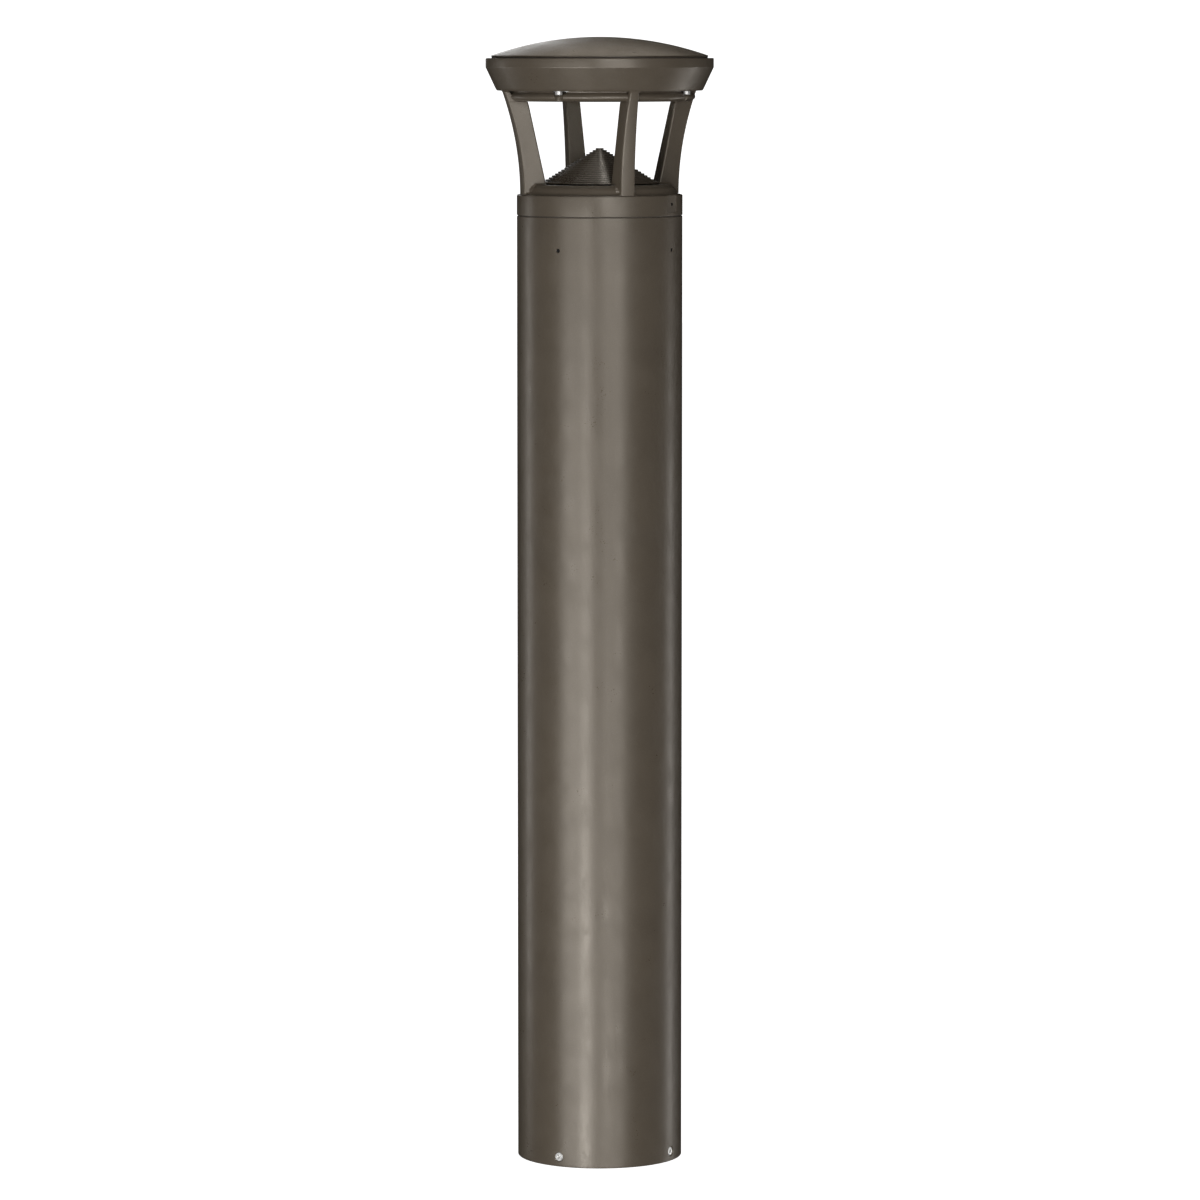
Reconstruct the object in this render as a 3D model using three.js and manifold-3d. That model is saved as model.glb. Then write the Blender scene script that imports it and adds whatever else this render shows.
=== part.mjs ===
// A bollard light: a round tube on an anchor base, and a lift-off head with a light chamber and a domed lid.
// Millimetres, +Z up. The origin is the centre of the foot, on the ground.
// Azimuths are degrees round +Z, counted from -Y towards +X.
import * as THREE from "three";
import { mergeVertices } from "three/addons/utils/BufferGeometryUtils.js";
import Module from "manifold-3d";

const wasm = await Module();
wasm.setup();

// ---------- Driving dimensions ----------
const GAP = 0.3; // clearance between pieces that touch
const PAST = 1; // how far a cutting tool runs past a face

const TUBE_RADIUS = 76.2;
const TUBE_BORE = 73;
const TUBE_TOP = 874.9;

const BASE_RADIUS = 72.6;
const BASE_WALL_BORE = 64;
const BASE_HEIGHT = 24;
const PLATE_THICKNESS = 8;
const CONDUIT_RADIUS = 38;
const ANCHOR_CIRCLE = 52; // radius of the slots' centres
const SLOT_WIDTH = 13;
const SLOT_LENGTH = 20;
const GROUND_BOSS_RADIUS = 6;
const GROUND_BOSS_TOP = 14;
const LUG_TOP = 18;
const LUG_BARREL_CIRCLE = 43;
const LUG_BARREL_TOP = 26;

const COLLAR_RADIUS = 76.3;
const COLLAR_FOOT = 876;
const COLLAR_TOP = 894.6;
const COLLAR_BORE = 74.7;
const SPIGOT_FOOT = 828;
const SPIGOT_RADIUS = 72.6;
const SPIGOT_BORE = 66;
const DECK_FOOT = 874;
const DECK_TOP = 882;
const DECK_BORE = 28;
const PAD_WIDTH = 18;
const PAD_HEIGHT = 15.6;
const PAD_SCREW_HEIGHT = 886.4;

const RING_RADIUS = 74.4; // the cage's base ring
const RING_SEAT = DECK_TOP + GAP;
const RING_FLOOR = 896;
const RING_TOP = 904;
const SKIRT_FOOT = 991.6;
const SKIRT_FOOT_RADIUS = 95.6;
const BAND_RADIUS = 104.85;
const BAND_FOOT = 1011.2;
const BAND_TOP = 1019.6;
const SHELF_FOOT = 993;
const SHELF_TOP = 999.3;
const SHELF_BORE = 76;
const FLANGE_BORE = 91; // of the ledge that carries the lid
const FLANGE_THICKNESS = 4;
const SKIRT_BORE = 99.8; // inside the band
const SHELF_ROOT_RADIUS = 93.6; // where the shelf meets the skirt's wall

const STRUT_FOOT = 895.2;
const STRUT_OUTER = 75.65; // outer radius at the strut's foot
const STRUT_FLARE = 0.00204; // outer radius grows by this times the height squared
const STRUT_INNER = 53.2; // inner radius at the strut's foot
const STRUT_LEAN = 0.2187; // inner radius gained for each millimetre of height
const STRUT_LEDGE = 980.1;
const STRUT_HALF_WIDTH = 4.7; // at WIDTH_RADIUS, and wider towards the middle
const WIDTH_RADIUS = 89.4;
const STRUT_TAPER = 0.133;

const CONE_RADIUS = 49.9; // of the lowest step
const CONE_FOOT = 906.6;
const CONE_TIP_RADIUS = 3.7; // of the highest step
const CONE_TOP = 937.1;
const CONE_STEPS = 17;
const DISC_RADIUS = 54.8;
const DISC_FOOT = 905;

const PAN_RADIUS = 91.3;
const PAN_FOOT = 980.6;
const PAN_FOOT_RADIUS = 79.5;
const PAN_FLANGE_FOOT = 990.2;
const PAN_TOP = 992.7;
const PAN_SEAT = 989;
const PAN_WALL_BORE = 84;
const APERTURE_RADIUS = 64;
const LENS_RADIUS = 72.4;
const LENS_SEAT = 983.6;
const LENS_FOOT = 984.9;
const LENS_TOP = 988.7;
const RETAINER_FOOT = PAN_SEAT + GAP;
const RETAINER_TOP = 991;
const RETAINER_BORE = 62;
const RETAINER_RADIUS = 83.5;
const RETAINER_SCREW_CIRCLE = 78;

const BOARD_RADIUS = 50;
const BOARD_FOOT = 994.4;
const BOARD_TOP = 996;
const LED_COUNT = 12;
const LED_CIRCLE = 36;
const LED_SIZE = 4.8;
const BOARD_SCREW_CIRCLE = 20;
const BOARD_SCREW_AZIMUTHS = [0, 180];
const SINK_RADIUS = 82;
const SINK_FOOT = SHELF_TOP + GAP;
const SINK_TOP = 1003.6;
const PEDESTAL_FOOT = 997;
const PEDESTAL_RADIUS = 52;
const FIN_COUNT = 12;
const FIN_TOP = 1013;
const FIN_REACH = [22, 70];

const DOME_RADIUS = 301; // of the sphere
const DOME_WALL = 4;
const DOME_TOP = 1039;
const DOME_RIM_RADIUS = 99.9;
const DOME_RIM_FOOT = 1020.9;
const DOME_BORE = 90; // inner edge of the lid's rim
const BOSS_CIRCLE = 84.5;
const BOSS_RADIUS = 5;
const BOSS_TOP = 1024.8; // inside the lid's wall

const STRUT_PHASE = 20; // azimuth of the first of four struts
const POCKET_PHASE = -25; // pan screws, heat sink screws and cage screws, between the struts
const SCREW_PHASE = -30; // foot screws and head set screws
const SLOT_PHASE = 15;
const GROUND_AZIMUTH = 60;
const PAD_AZIMUTH = 62.5;
const PAD_SCREW_AZIMUTH = 60.9;
const LEAD_AZIMUTH = 290; // the strut that hides the lead

const FOOT_SCREW_HEIGHT = 9;
const SET_SCREW_HEIGHT = 845;
const CAGE_SCREW_CIRCLE = 60;
const CAGE_BOSS_RADIUS = 5.5;
const PAN_SCREW_CIRCLE = 87.6;
const SINK_SCREW_CIRCLE = 79.5;
const LEAD_RADIUS = 1.8;
const LEAD_DROP_CIRCLE = 75.8; // where the lead leaves the pan
const LEAD_HOLE_RADIUS = 2.9;
const GROOVE_DEPTH = 6;
const GROOVE_WIDTH = 5.4;
const WIREWAY = [908.5, 975.5]; // heights of the strip over the groove
const WIREWAY_WIDTH = 8.8;
const WIREWAY_THICKNESS = 1.3;

const TRAY_FOOT = 668;
const TRAY_TOP = 873.7;
const TRAY_HALF_WIDTH = 38;
const TRAY_SHEET = 2;
const TRAY_SCREW_REACH = -40;
const TRAY_SCREW_SPREAD = 20;
const TRAY_FLANGE_REACH = -48;
const TRAY_LIP = 10;
const DRIVER_FOOT = 735;
const DRIVER_TOP = 835;
const DRIVER_DEPTH = 28;
const DRIVER_HALF_WIDTH = 24;
const DRIVER_TAB = 10; // how far the mounting tabs stand out at each end
const DRIVER_SCREW_HEIGHTS = [DRIVER_FOOT - DRIVER_TAB / 2, DRIVER_TOP + DRIVER_TAB / 2];
const SURGE_STUD_HEIGHT = 715.5;
const SURGE_STUD_RADIUS = 2.9;
const SURGE_BODY = [700, 748];
const TERMINAL_BODY = [684, 706];
const TERMINAL_PITCH = 11;

// Screws: radius and height of the head, radius and length of the shank, circumradius of the hexagon socket.
const FOOT_SCREW = { head: 4, headHeight: 2.8, shank: 2.1, length: 9, socket: 1.6, countersunk: true };
const GROUND_SCREW = { head: 4, headHeight: 3, shank: 2, length: 11, socket: 1.5 };
const CAGE_SCREW = { head: 4.5, headHeight: 4, shank: 2.4, length: 16, socket: 2 };
const CONE_SCREW = { head: 4.6, headHeight: 4, shank: 2.4, length: 24, socket: 2 };
const PAN_SCREW = { head: 3.3, headHeight: 3.6, shank: 2, length: 7.6, socket: 1.5 };
const RETAINER_SCREW = { head: 2.8, headHeight: 1.2, shank: 1.4, length: 5, socket: 1 };
const BOARD_SCREW = { head: 2.8, headHeight: 1.4, shank: 1.5, length: 6, socket: 1 };
const SINK_SCREW = { head: 3, headHeight: 2.5, shank: 1.6, length: 8, socket: 1.2 };
const COVER_SCREW = { head: 3.8, headHeight: 3, shank: 2, length: 15, socket: 1.5 };
const TRAY_SCREW = { head: 4, headHeight: 2.5, shank: 2, length: 9, socket: 1.5 };
const DRIVER_SCREW = { head: 3, headHeight: 2, shank: 1.5, length: 5, socket: 1.1 };
// Headless screws.
const HEAD_SET_SCREW = { radius: 1.55, length: 2.7, socket: 0.8 };
const PAD_SCREW = { radius: 1.45, length: 0.9, socket: 0.8 };

const ROUND_SIDES = 36;
const INNER_SIDES = 24;
const SMALL_SIDES = 8;

// ---------- Finishes ----------
function finish(color, roughness, metalness) {
  return () => new THREE.MeshStandardMaterial({ color, roughness, metalness });
}

const bronzePowderCoat = finish(0x5b544b, 0.55, 0.3);
const blackBaffle = finish(0x3f3a34, 0.6, 0.3);
const castAluminium = finish(0xa3a5a6, 0.5, 0.8);
const brightSteel = finish(0xd2d0cc, 0.25, 1);
const blackSteel = finish(0x2a2928, 0.5, 0.9);
const zincSheet = finish(0xb9bcc0, 0.4, 0.9);
const siliconeRubber = finish(0x1b1a19, 0.8, 0);
const frostedGlass = finish(0xe4eef0, 0.15, 0);
const boardWhite = finish(0xf0efe8, 0.5, 0);
const thermalGrey = finish(0x8c9398, 0.9, 0);
const driverWhite = finish(0xdfe0de, 0.5, 0);
const surgeBlack = finish(0x24262a, 0.5, 0);
const terminalGreen = finish(0x3d7a52, 0.5, 0);
const leadGrey = finish(0x4a4a4c, 0.7, 0);

// ---------- Solids ----------
function toSolid(geometry) {
  const plain = geometry.clone();
  plain.deleteAttribute("normal");
  plain.deleteAttribute("uv");
  const merged = mergeVertices(plain, 1e-4);
  return new wasm.Manifold(
    new wasm.Mesh({
      numProp: 3,
      vertProperties: new Float32Array(merged.attributes.position.array),
      triVerts: new Uint32Array(merged.index.array),
    }),
  );
}

function toGeometry(solid) {
  const mesh = solid.getMesh();
  return new THREE.BufferGeometry()
    .setAttribute("position", new THREE.BufferAttribute(mesh.vertProperties, 3))
    .setIndex(new THREE.BufferAttribute(mesh.triVerts, 1));
}

function cut(base, tools) {
  return toGeometry(tools.reduce((solid, tool) => solid.subtract(toSolid(tool)), toSolid(base)));
}

function join(base, extras) {
  return toGeometry(extras.reduce((solid, extra) => solid.add(toSolid(extra)), toSolid(base)));
}

// A solid of revolution about +Z. The outline is [radius, height] pairs or Vector2 points.
function revolve(outline, sides = ROUND_SIDES) {
  const points = outline.map((p) => (p.isVector2 ? p : new THREE.Vector2(...p)));
  return new THREE.LatheGeometry(points, sides).rotateX(Math.PI / 2);
}

// The same for an outline that stays off the axis and closes on itself.
function revolveRing(outline, sides = ROUND_SIDES) {
  return revolve([...outline, outline[0]], sides);
}

function washer(bore, radius, foot, top, sides = ROUND_SIDES) {
  const outline = [
    [bore, foot],
    [radius, foot],
    [radius, top],
    [bore, top],
  ];
  return revolveRing(outline, sides);
}

function post(radius, foot, top, reach = 0, sides = SMALL_SIDES, topRadius = radius) {
  return new THREE.CylinderGeometry(topRadius, radius, top - foot, sides)
    .rotateX(Math.PI / 2)
    .translate(reach, 0, (foot + top) / 2);
}

// A round bar along +X.
function bar(radius, from, to, height, sides = SMALL_SIDES, endRadius = radius) {
  return new THREE.CylinderGeometry(radius, endRadius, to - from, sides)
    .rotateZ(Math.PI / 2)
    .translate((from + to) / 2, 0, height);
}

function block(x, y, z) {
  return new THREE.BoxGeometry(x[1] - x[0], y[1] - y[0], z[1] - z[0]).translate(
    (x[0] + x[1]) / 2,
    (y[0] + y[1]) / 2,
    (z[0] + z[1]) / 2,
  );
}

// An outline in the plane of radius and height, as a slab centred on that plane.
function upright(shape, width, options = {}) {
  const settings = { depth: width, bevelEnabled: false, curveSegments: 5, ...options };
  return new THREE.ExtrudeGeometry(shape, settings)
    .translate(0, 0, -width / 2)
    .rotateX(Math.PI / 2);
}

function polygon(points) {
  return new THREE.Shape(points.map(([x, y]) => new THREE.Vector2(x, y)));
}

function turnAngle(azimuth) {
  return THREE.MathUtils.degToRad(azimuth - 90);
}

// A tool drawn along +X, turned to an azimuth.
function turned(geometry, azimuth) {
  return geometry.clone().rotateZ(turnAngle(azimuth));
}

function everyQuarter(phase) {
  return [0, 1, 2, 3].map((quarter) => phase + 90 * quarter);
}

function fourTurned(geometry, phase) {
  return everyQuarter(phase).map((azimuth) => turned(geometry, azimuth));
}

// ---------- Placing ----------
const bollard = new THREE.Group();

function add(name, geometry, material, group = bollard) {
  const mesh = new THREE.Mesh(geometry, material());
  mesh.name = name;
  group.add(mesh);
  return mesh;
}

// A group whose +X points outwards at an azimuth.
function spoke(azimuth) {
  const group = new THREE.Group();
  group.rotation.z = turnAngle(azimuth);
  bollard.add(group);
  return group;
}

// ---------- Fasteners ----------
// A screw along +Z with its head's seat at z = 0. A countersunk head narrows to the shank.
function screw({ head, headHeight, shank, length, socket, countersunk = false }) {
  const shoulder = [head, countersunk ? 0.4 - headHeight : 0];
  const outline = [[0, -headHeight], [head, -headHeight], shoulder, [shank, 0], [shank, length], [0, length]];
  const hexagon = post(socket, -headHeight - PAST, -headHeight * 0.35, 0, 6);
  return cut(revolve(outline, SMALL_SIDES), [hexagon]);
}

// A headless screw along +Z, from its socket at z = 0.
function setScrew({ radius, length, socket }) {
  return cut(post(radius, 0, length), [post(socket, -PAST, length / 2, 0, 6)]);
}

// The radius of the hole that a screw's shank runs in.
function holeFor(fastener) {
  return fastener.shank + GAP;
}

// Four screws at a radius, one in each quarter, pointing up unless turned over.
function addUprightScrews(name, geometry, phase, circle, seat, material, pointsDown = false) {
  everyQuarter(phase).forEach((azimuth, index) => {
    const mesh = add(`${name}_${index + 1}`, geometry, material, spoke(azimuth));
    mesh.position.set(circle, 0, seat);
    mesh.rotation.x = pointsDown ? Math.PI : 0;
  });
}

// A screw at an azimuth that points at the axis.
function addRadialScrew(name, geometry, azimuth, radius, height, material) {
  const mesh = add(name, geometry, material, spoke(azimuth));
  mesh.position.set(radius, 0, height);
  mesh.rotation.y = -Math.PI / 2;
}

// ---------- Shaft ----------
function anchorBase() {
  const outline = [
    [CONDUIT_RADIUS, 0],
    [BASE_RADIUS, 0],
    [BASE_RADIUS, BASE_HEIGHT],
    [BASE_WALL_BORE, BASE_HEIGHT],
    [BASE_WALL_BORE, PLATE_THICKNESS],
    [CONDUIT_RADIUS, PLATE_THICKNESS],
  ];
  const reach = SLOT_LENGTH / 2 - SLOT_WIDTH / 2;
  const through = [-PAST, PLATE_THICKNESS + PAST];
  const slot = [
    block([ANCHOR_CIRCLE - reach, ANCHOR_CIRCLE + reach], [-SLOT_WIDTH / 2, SLOT_WIDTH / 2], through),
    post(SLOT_WIDTH / 2, ...through, ANCHOR_CIRCLE - reach),
    post(SLOT_WIDTH / 2, ...through, ANCHOR_CIRCLE + reach),
  ];
  const thread = bar(holeFor(FOOT_SCREW), BASE_WALL_BORE - PAST, BASE_RADIUS + PAST, FOOT_SCREW_HEIGHT);
  const threads = fourTurned(thread, SCREW_PHASE);
  const slots = slot.flatMap((tool) => fourTurned(tool, SLOT_PHASE));
  const boss = turned(
    post(GROUND_BOSS_RADIUS, PLATE_THICKNESS - PAST, GROUND_BOSS_TOP, ANCHOR_CIRCLE),
    GROUND_AZIMUTH,
  );
  const bossThread = turned(
    post(holeFor(GROUND_SCREW), PLATE_THICKNESS - 3, GROUND_BOSS_TOP + PAST, ANCHOR_CIRCLE),
    GROUND_AZIMUTH,
  );
  return cut(join(revolveRing(outline, ROUND_SIDES), [boss]), [...slots, ...threads, bossThread]);
}

function shaftTube() {
  const foot = 0.6; // chamfer
  const outline = [
    [TUBE_BORE, 0],
    [TUBE_RADIUS - foot, 0],
    [TUBE_RADIUS, foot],
    [TUBE_RADIUS, TUBE_TOP],
    [TUBE_BORE, TUBE_TOP],
  ];
  const sink = bar(2.8, TUBE_BORE - 0.5, TUBE_RADIUS + 0.1, FOOT_SCREW_HEIGHT, 12, 5);
  const threadRadius = HEAD_SET_SCREW.radius + GAP;
  const thread = bar(threadRadius, TUBE_BORE - PAST, TUBE_RADIUS + PAST, SET_SCREW_HEIGHT);
  return cut(revolveRing(outline), [...fourTurned(sink, SCREW_PHASE), ...fourTurned(thread, SCREW_PHASE)]);
}

function addShaft() {
  add("anchor_base", anchorBase(), castAluminium);
  add("shaft_tube", shaftTube(), bronzePowderCoat);
  const footScrew = screw(FOOT_SCREW);
  const footSeat = TUBE_BORE - GAP;
  const headSetScrew = setScrew(HEAD_SET_SCREW);
  const setSocket = TUBE_RADIUS - GAP;
  everyQuarter(SCREW_PHASE).forEach((azimuth, index) => {
    const copy = index + 1;
    addRadialScrew(`foot_screw_${copy}`, footScrew, azimuth, footSeat, FOOT_SCREW_HEIGHT, brightSteel);
    addRadialScrew(`head_set_screw_${copy}`, headSetScrew, azimuth, setSocket, SET_SCREW_HEIGHT, blackSteel);
  });
  addGroundPoint();
}

function addGroundPoint() {
  const group = spoke(GROUND_AZIMUTH);
  const foot = GROUND_BOSS_TOP + GAP;
  const tongue = block([LUG_BARREL_CIRCLE + 2, ANCHOR_CIRCLE + 6], [-6, 6], [foot, LUG_TOP]);
  const barrel = post(4.5, foot, LUG_BARREL_TOP, LUG_BARREL_CIRCLE);
  const screwHole = post(2.4, foot - PAST, LUG_TOP + PAST, ANCHOR_CIRCLE);
  const wireHole = post(2.4, LUG_TOP - 1, LUG_BARREL_TOP + PAST, LUG_BARREL_CIRCLE);
  add("ground_lug", cut(join(tongue, [barrel]), [screwHole, wireHole]), castAluminium, group);
  const mesh = add("ground_screw", screw(GROUND_SCREW), brightSteel, group);
  mesh.position.set(ANCHOR_CIRCLE, 0, LUG_TOP + GAP);
  mesh.rotation.x = Math.PI;
}

// ---------- Collar ----------
function collar() {
  const edge = 0.4;
  const rim = new THREE.Path();
  rim.moveTo(SPIGOT_BORE, SPIGOT_FOOT);
  rim.lineTo(SPIGOT_RADIUS - 1, SPIGOT_FOOT);
  rim.lineTo(SPIGOT_RADIUS, SPIGOT_FOOT + 1);
  rim.lineTo(SPIGOT_RADIUS, COLLAR_FOOT);
  rim.lineTo(COLLAR_RADIUS - edge, COLLAR_FOOT);
  rim.lineTo(COLLAR_RADIUS, COLLAR_FOOT + edge);
  rim.lineTo(COLLAR_RADIUS, COLLAR_TOP - 1);
  rim.quadraticCurveTo(COLLAR_RADIUS, COLLAR_TOP, COLLAR_RADIUS - 1, COLLAR_TOP);
  rim.lineTo(COLLAR_BORE, COLLAR_TOP);
  rim.lineTo(COLLAR_BORE, DECK_TOP);
  rim.lineTo(DECK_BORE, DECK_TOP);
  rim.lineTo(DECK_BORE, DECK_FOOT);
  rim.lineTo(SPIGOT_BORE, DECK_FOOT);
  const flat = Math.sqrt(COLLAR_RADIUS ** 2 - (PAD_WIDTH / 2) ** 2);
  const padHeights = [COLLAR_TOP - PAD_HEIGHT, COLLAR_TOP + PAST];
  const pad = block([flat, COLLAR_RADIUS + PAST], [-PAD_WIDTH, PAD_WIDTH], padHeights);
  const padThread = bar(PAD_SCREW.radius + GAP, COLLAR_BORE - PAST, COLLAR_RADIUS + PAST, PAD_SCREW_HEIGHT);
  const throughDeck = [DECK_FOOT - PAST, DECK_TOP + PAST];
  const cageHole = post(holeFor(CAGE_SCREW), ...throughDeck, CAGE_SCREW_CIRCLE);
  const trayHoles = [-1, 1].map((side) => {
    const hole = post(holeFor(TRAY_SCREW), ...throughDeck, TRAY_SCREW_REACH);
    return turned(hole.translate(0, side * TRAY_SCREW_SPREAD, 0), LEAD_AZIMUTH);
  });
  return cut(revolveRing(rim.getPoints(3)), [
    turned(pad, PAD_AZIMUTH),
    turned(padThread, PAD_SCREW_AZIMUTH),
    ...fourTurned(cageHole, POCKET_PHASE),
    ...trayHoles,
  ]);
}

function addCollar() {
  add("collar", collar(), bronzePowderCoat);
  const seam = [TUBE_TOP + GAP / 2, COLLAR_FOOT - GAP / 2];
  add("collar_gasket", washer(TUBE_BORE + 0.4, TUBE_RADIUS - 0.8, ...seam), siliconeRubber);
  const padSocket = COLLAR_RADIUS - 0.6;
  const padScrew = setScrew(PAD_SCREW);
  addRadialScrew("pad_screw", padScrew, PAD_SCREW_AZIMUTH, padSocket, PAD_SCREW_HEIGHT, blackSteel);
  const cageScrew = screw(CAGE_SCREW);
  addUprightScrews("cage_screw", cageScrew, POCKET_PHASE, CAGE_SCREW_CIRCLE, DECK_FOOT - GAP, brightSteel);
}

// ---------- Cage casting: skirt, struts and base ring ----------
function skirt() {
  const lipRadius = PAN_RADIUS + 0.4;
  const outline = [
    [lipRadius, SKIRT_FOOT - 1.8],
    [SKIRT_FOOT_RADIUS - 1.1, SKIRT_FOOT - 1.6],
    [SKIRT_FOOT_RADIUS, SKIRT_FOOT],
    [BAND_RADIUS, BAND_FOOT],
    [BAND_RADIUS, BAND_TOP - 0.6],
    [BAND_RADIUS - 0.5, BAND_TOP],
    [FLANGE_BORE, BAND_TOP],
    [FLANGE_BORE, BAND_TOP - FLANGE_THICKNESS],
    [SKIRT_BORE, BAND_TOP - FLANGE_THICKNESS],
    [SKIRT_BORE, BAND_FOOT + 1],
    [SHELF_ROOT_RADIUS, SHELF_TOP],
    [SHELF_BORE, SHELF_TOP],
    [SHELF_BORE, SHELF_FOOT],
    [lipRadius, SHELF_FOOT],
  ];
  return revolveRing(outline);
}

function baseRing() {
  const path = new THREE.Path();
  path.moveTo(0, RING_FLOOR);
  path.lineTo(RING_RADIUS - 7.4, RING_FLOOR);
  path.lineTo(RING_RADIUS - 7.4, RING_SEAT);
  path.lineTo(RING_RADIUS, RING_SEAT);
  path.lineTo(RING_RADIUS, COLLAR_TOP + 0.4);
  path.bezierCurveTo(71, 895.8, 68, 898.5, 66.5, 903);
  path.quadraticCurveTo(66.1, RING_TOP, 65, RING_TOP);
  path.lineTo(0, RING_TOP);
  return revolve(path.getPoints(4));
}

function strutInner(height) {
  return STRUT_INNER + STRUT_LEAN * (height - STRUT_FOOT);
}

// A strut drawn along +X: its side view, with rounded edges, narrowed outwards.
function strut() {
  const rise = SKIRT_FOOT - 0.2 - STRUT_FOOT;
  const side = new THREE.Shape();
  side.moveTo(strutInner(STRUT_FOOT), STRUT_FOOT);
  side.lineTo(STRUT_OUTER, STRUT_FOOT);
  side.quadraticCurveTo(
    STRUT_OUTER,
    STRUT_FOOT + rise / 2,
    STRUT_OUTER + STRUT_FLARE * rise ** 2,
    STRUT_FOOT + rise,
  );
  side.lineTo(PAN_RADIUS + 0.5, SKIRT_FOOT - 0.2);
  side.lineTo(PAN_RADIUS + 0.5, PAN_FLANGE_FOOT - 0.4);
  side.bezierCurveTo(85.2, 989.1, 86.6, STRUT_LEDGE + 0.3, PAN_FOOT_RADIUS + 0.6, STRUT_LEDGE);
  side.lineTo(strutInner(STRUT_LEDGE), STRUT_LEDGE);
  const bevel = 0.6;
  const width = 2 * STRUT_HALF_WIDTH;
  const slab = upright(side, width - 2 * bevel, {
    bevelEnabled: true,
    bevelSegments: 1,
    bevelSize: bevel,
    bevelOffset: -bevel,
    bevelThickness: bevel,
  });
  const places = slab.attributes.position;
  for (let i = 0; i < places.count; i++) {
    const widening = 1 + (STRUT_TAPER * (WIDTH_RADIUS - places.getX(i))) / STRUT_HALF_WIDTH;
    places.setY(i, places.getY(i) * widening);
  }
  return slab;
}

// A strip along a strut's inner face, between two depths into the strut.
function innerStrip(depths, heights, width) {
  const corners = [
    [strutInner(heights[0]) + depths[0], heights[0]],
    [strutInner(heights[0]) + depths[1], heights[0]],
    [strutInner(heights[1]) + depths[1], heights[1]],
    [strutInner(heights[1]) + depths[0], heights[1]],
  ];
  return upright(polygon(corners), width);
}

function cageCasting() {
  const boss = post(CAGE_BOSS_RADIUS, RING_SEAT, RING_FLOOR + PAST, CAGE_SCREW_CIRCLE);
  const solids = [baseRing(), ...fourTurned(strut(), STRUT_PHASE), ...fourTurned(boss, POCKET_PHASE)];
  const coverHole = post(holeFor(COVER_SCREW), SHELF_FOOT - PAST, SHELF_TOP + PAST, BOSS_CIRCLE);
  const coverHead = post(
    COVER_SCREW.head + 0.5,
    SHELF_FOOT - PAST,
    SHELF_FOOT + COVER_SCREW.headHeight + 0.4,
    BOSS_CIRCLE,
  );
  const panThread = post(holeFor(PAN_SCREW), SHELF_FOOT - PAST, SHELF_TOP - 1, PAN_SCREW_CIRCLE);
  const sinkThread = post(holeFor(SINK_SCREW), SHELF_FOOT + 1, SHELF_TOP + PAST, SINK_SCREW_CIRCLE);
  const cageThread = post(holeFor(CAGE_SCREW), RING_SEAT - PAST, RING_FLOOR + 2, CAGE_SCREW_CIRCLE);
  const groove = innerStrip([-3, GROOVE_DEPTH], [RING_FLOOR - 8, STRUT_LEDGE + PAST], GROOVE_WIDTH);
  const rebate = innerStrip(
    [-PAST, WIREWAY_THICKNESS + GAP],
    [WIREWAY[0] - 0.5, WIREWAY[1] + 0.5],
    WIREWAY_WIDTH + 2 * GAP,
  );
  return cut(join(skirt(), solids), [
    ...fourTurned(coverHole, STRUT_PHASE),
    ...fourTurned(coverHead, STRUT_PHASE),
    ...fourTurned(panThread, POCKET_PHASE),
    ...fourTurned(sinkThread, POCKET_PHASE),
    ...fourTurned(cageThread, POCKET_PHASE),
    post(holeFor(CONE_SCREW) + 0.7, RING_FLOOR - PAST, RING_TOP + PAST),
    turned(groove, LEAD_AZIMUTH),
    turned(rebate, LEAD_AZIMUTH),
  ]);
}

function steppedCone() {
  const run = (CONE_RADIUS - CONE_TIP_RADIUS) / (CONE_STEPS - 1);
  const rise = (CONE_TOP - CONE_FOOT) / CONE_STEPS;
  const steps = [];
  for (let step = 0; step < CONE_STEPS; step++) {
    const radius = CONE_RADIUS - step * run;
    const height = CONE_FOOT + step * rise;
    steps.push([radius, height], [radius, height + rise]);
  }
  const threadRadius = holeFor(CONE_SCREW);
  const threadTop = CONE_TOP - 12;
  const hubRadius = 8;
  const outline = [
    [0, threadTop],
    [threadRadius, threadTop],
    [threadRadius, RING_TOP + GAP],
    [hubRadius, RING_TOP + GAP],
    [hubRadius, CONE_TOP - 6.5],
    [CONE_RADIUS - 3.5, DISC_FOOT],
    [DISC_RADIUS, DISC_FOOT],
    [DISC_RADIUS, CONE_FOOT],
    ...steps,
    [0, CONE_TOP],
  ];
  return revolve(outline, INNER_SIDES);
}

function addCage() {
  add("cage_casting", cageCasting(), bronzePowderCoat);
  add("stepped_cone", steppedCone(), blackBaffle);
  add("cone_screw", screw(CONE_SCREW), brightSteel).position.set(0, 0, RING_FLOOR - GAP);
  const wirewayCover = innerStrip([0, WIREWAY_THICKNESS], WIREWAY, WIREWAY_WIDTH);
  add("wireway_cover", wirewayCover, bronzePowderCoat, spoke(LEAD_AZIMUTH));
}

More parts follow.
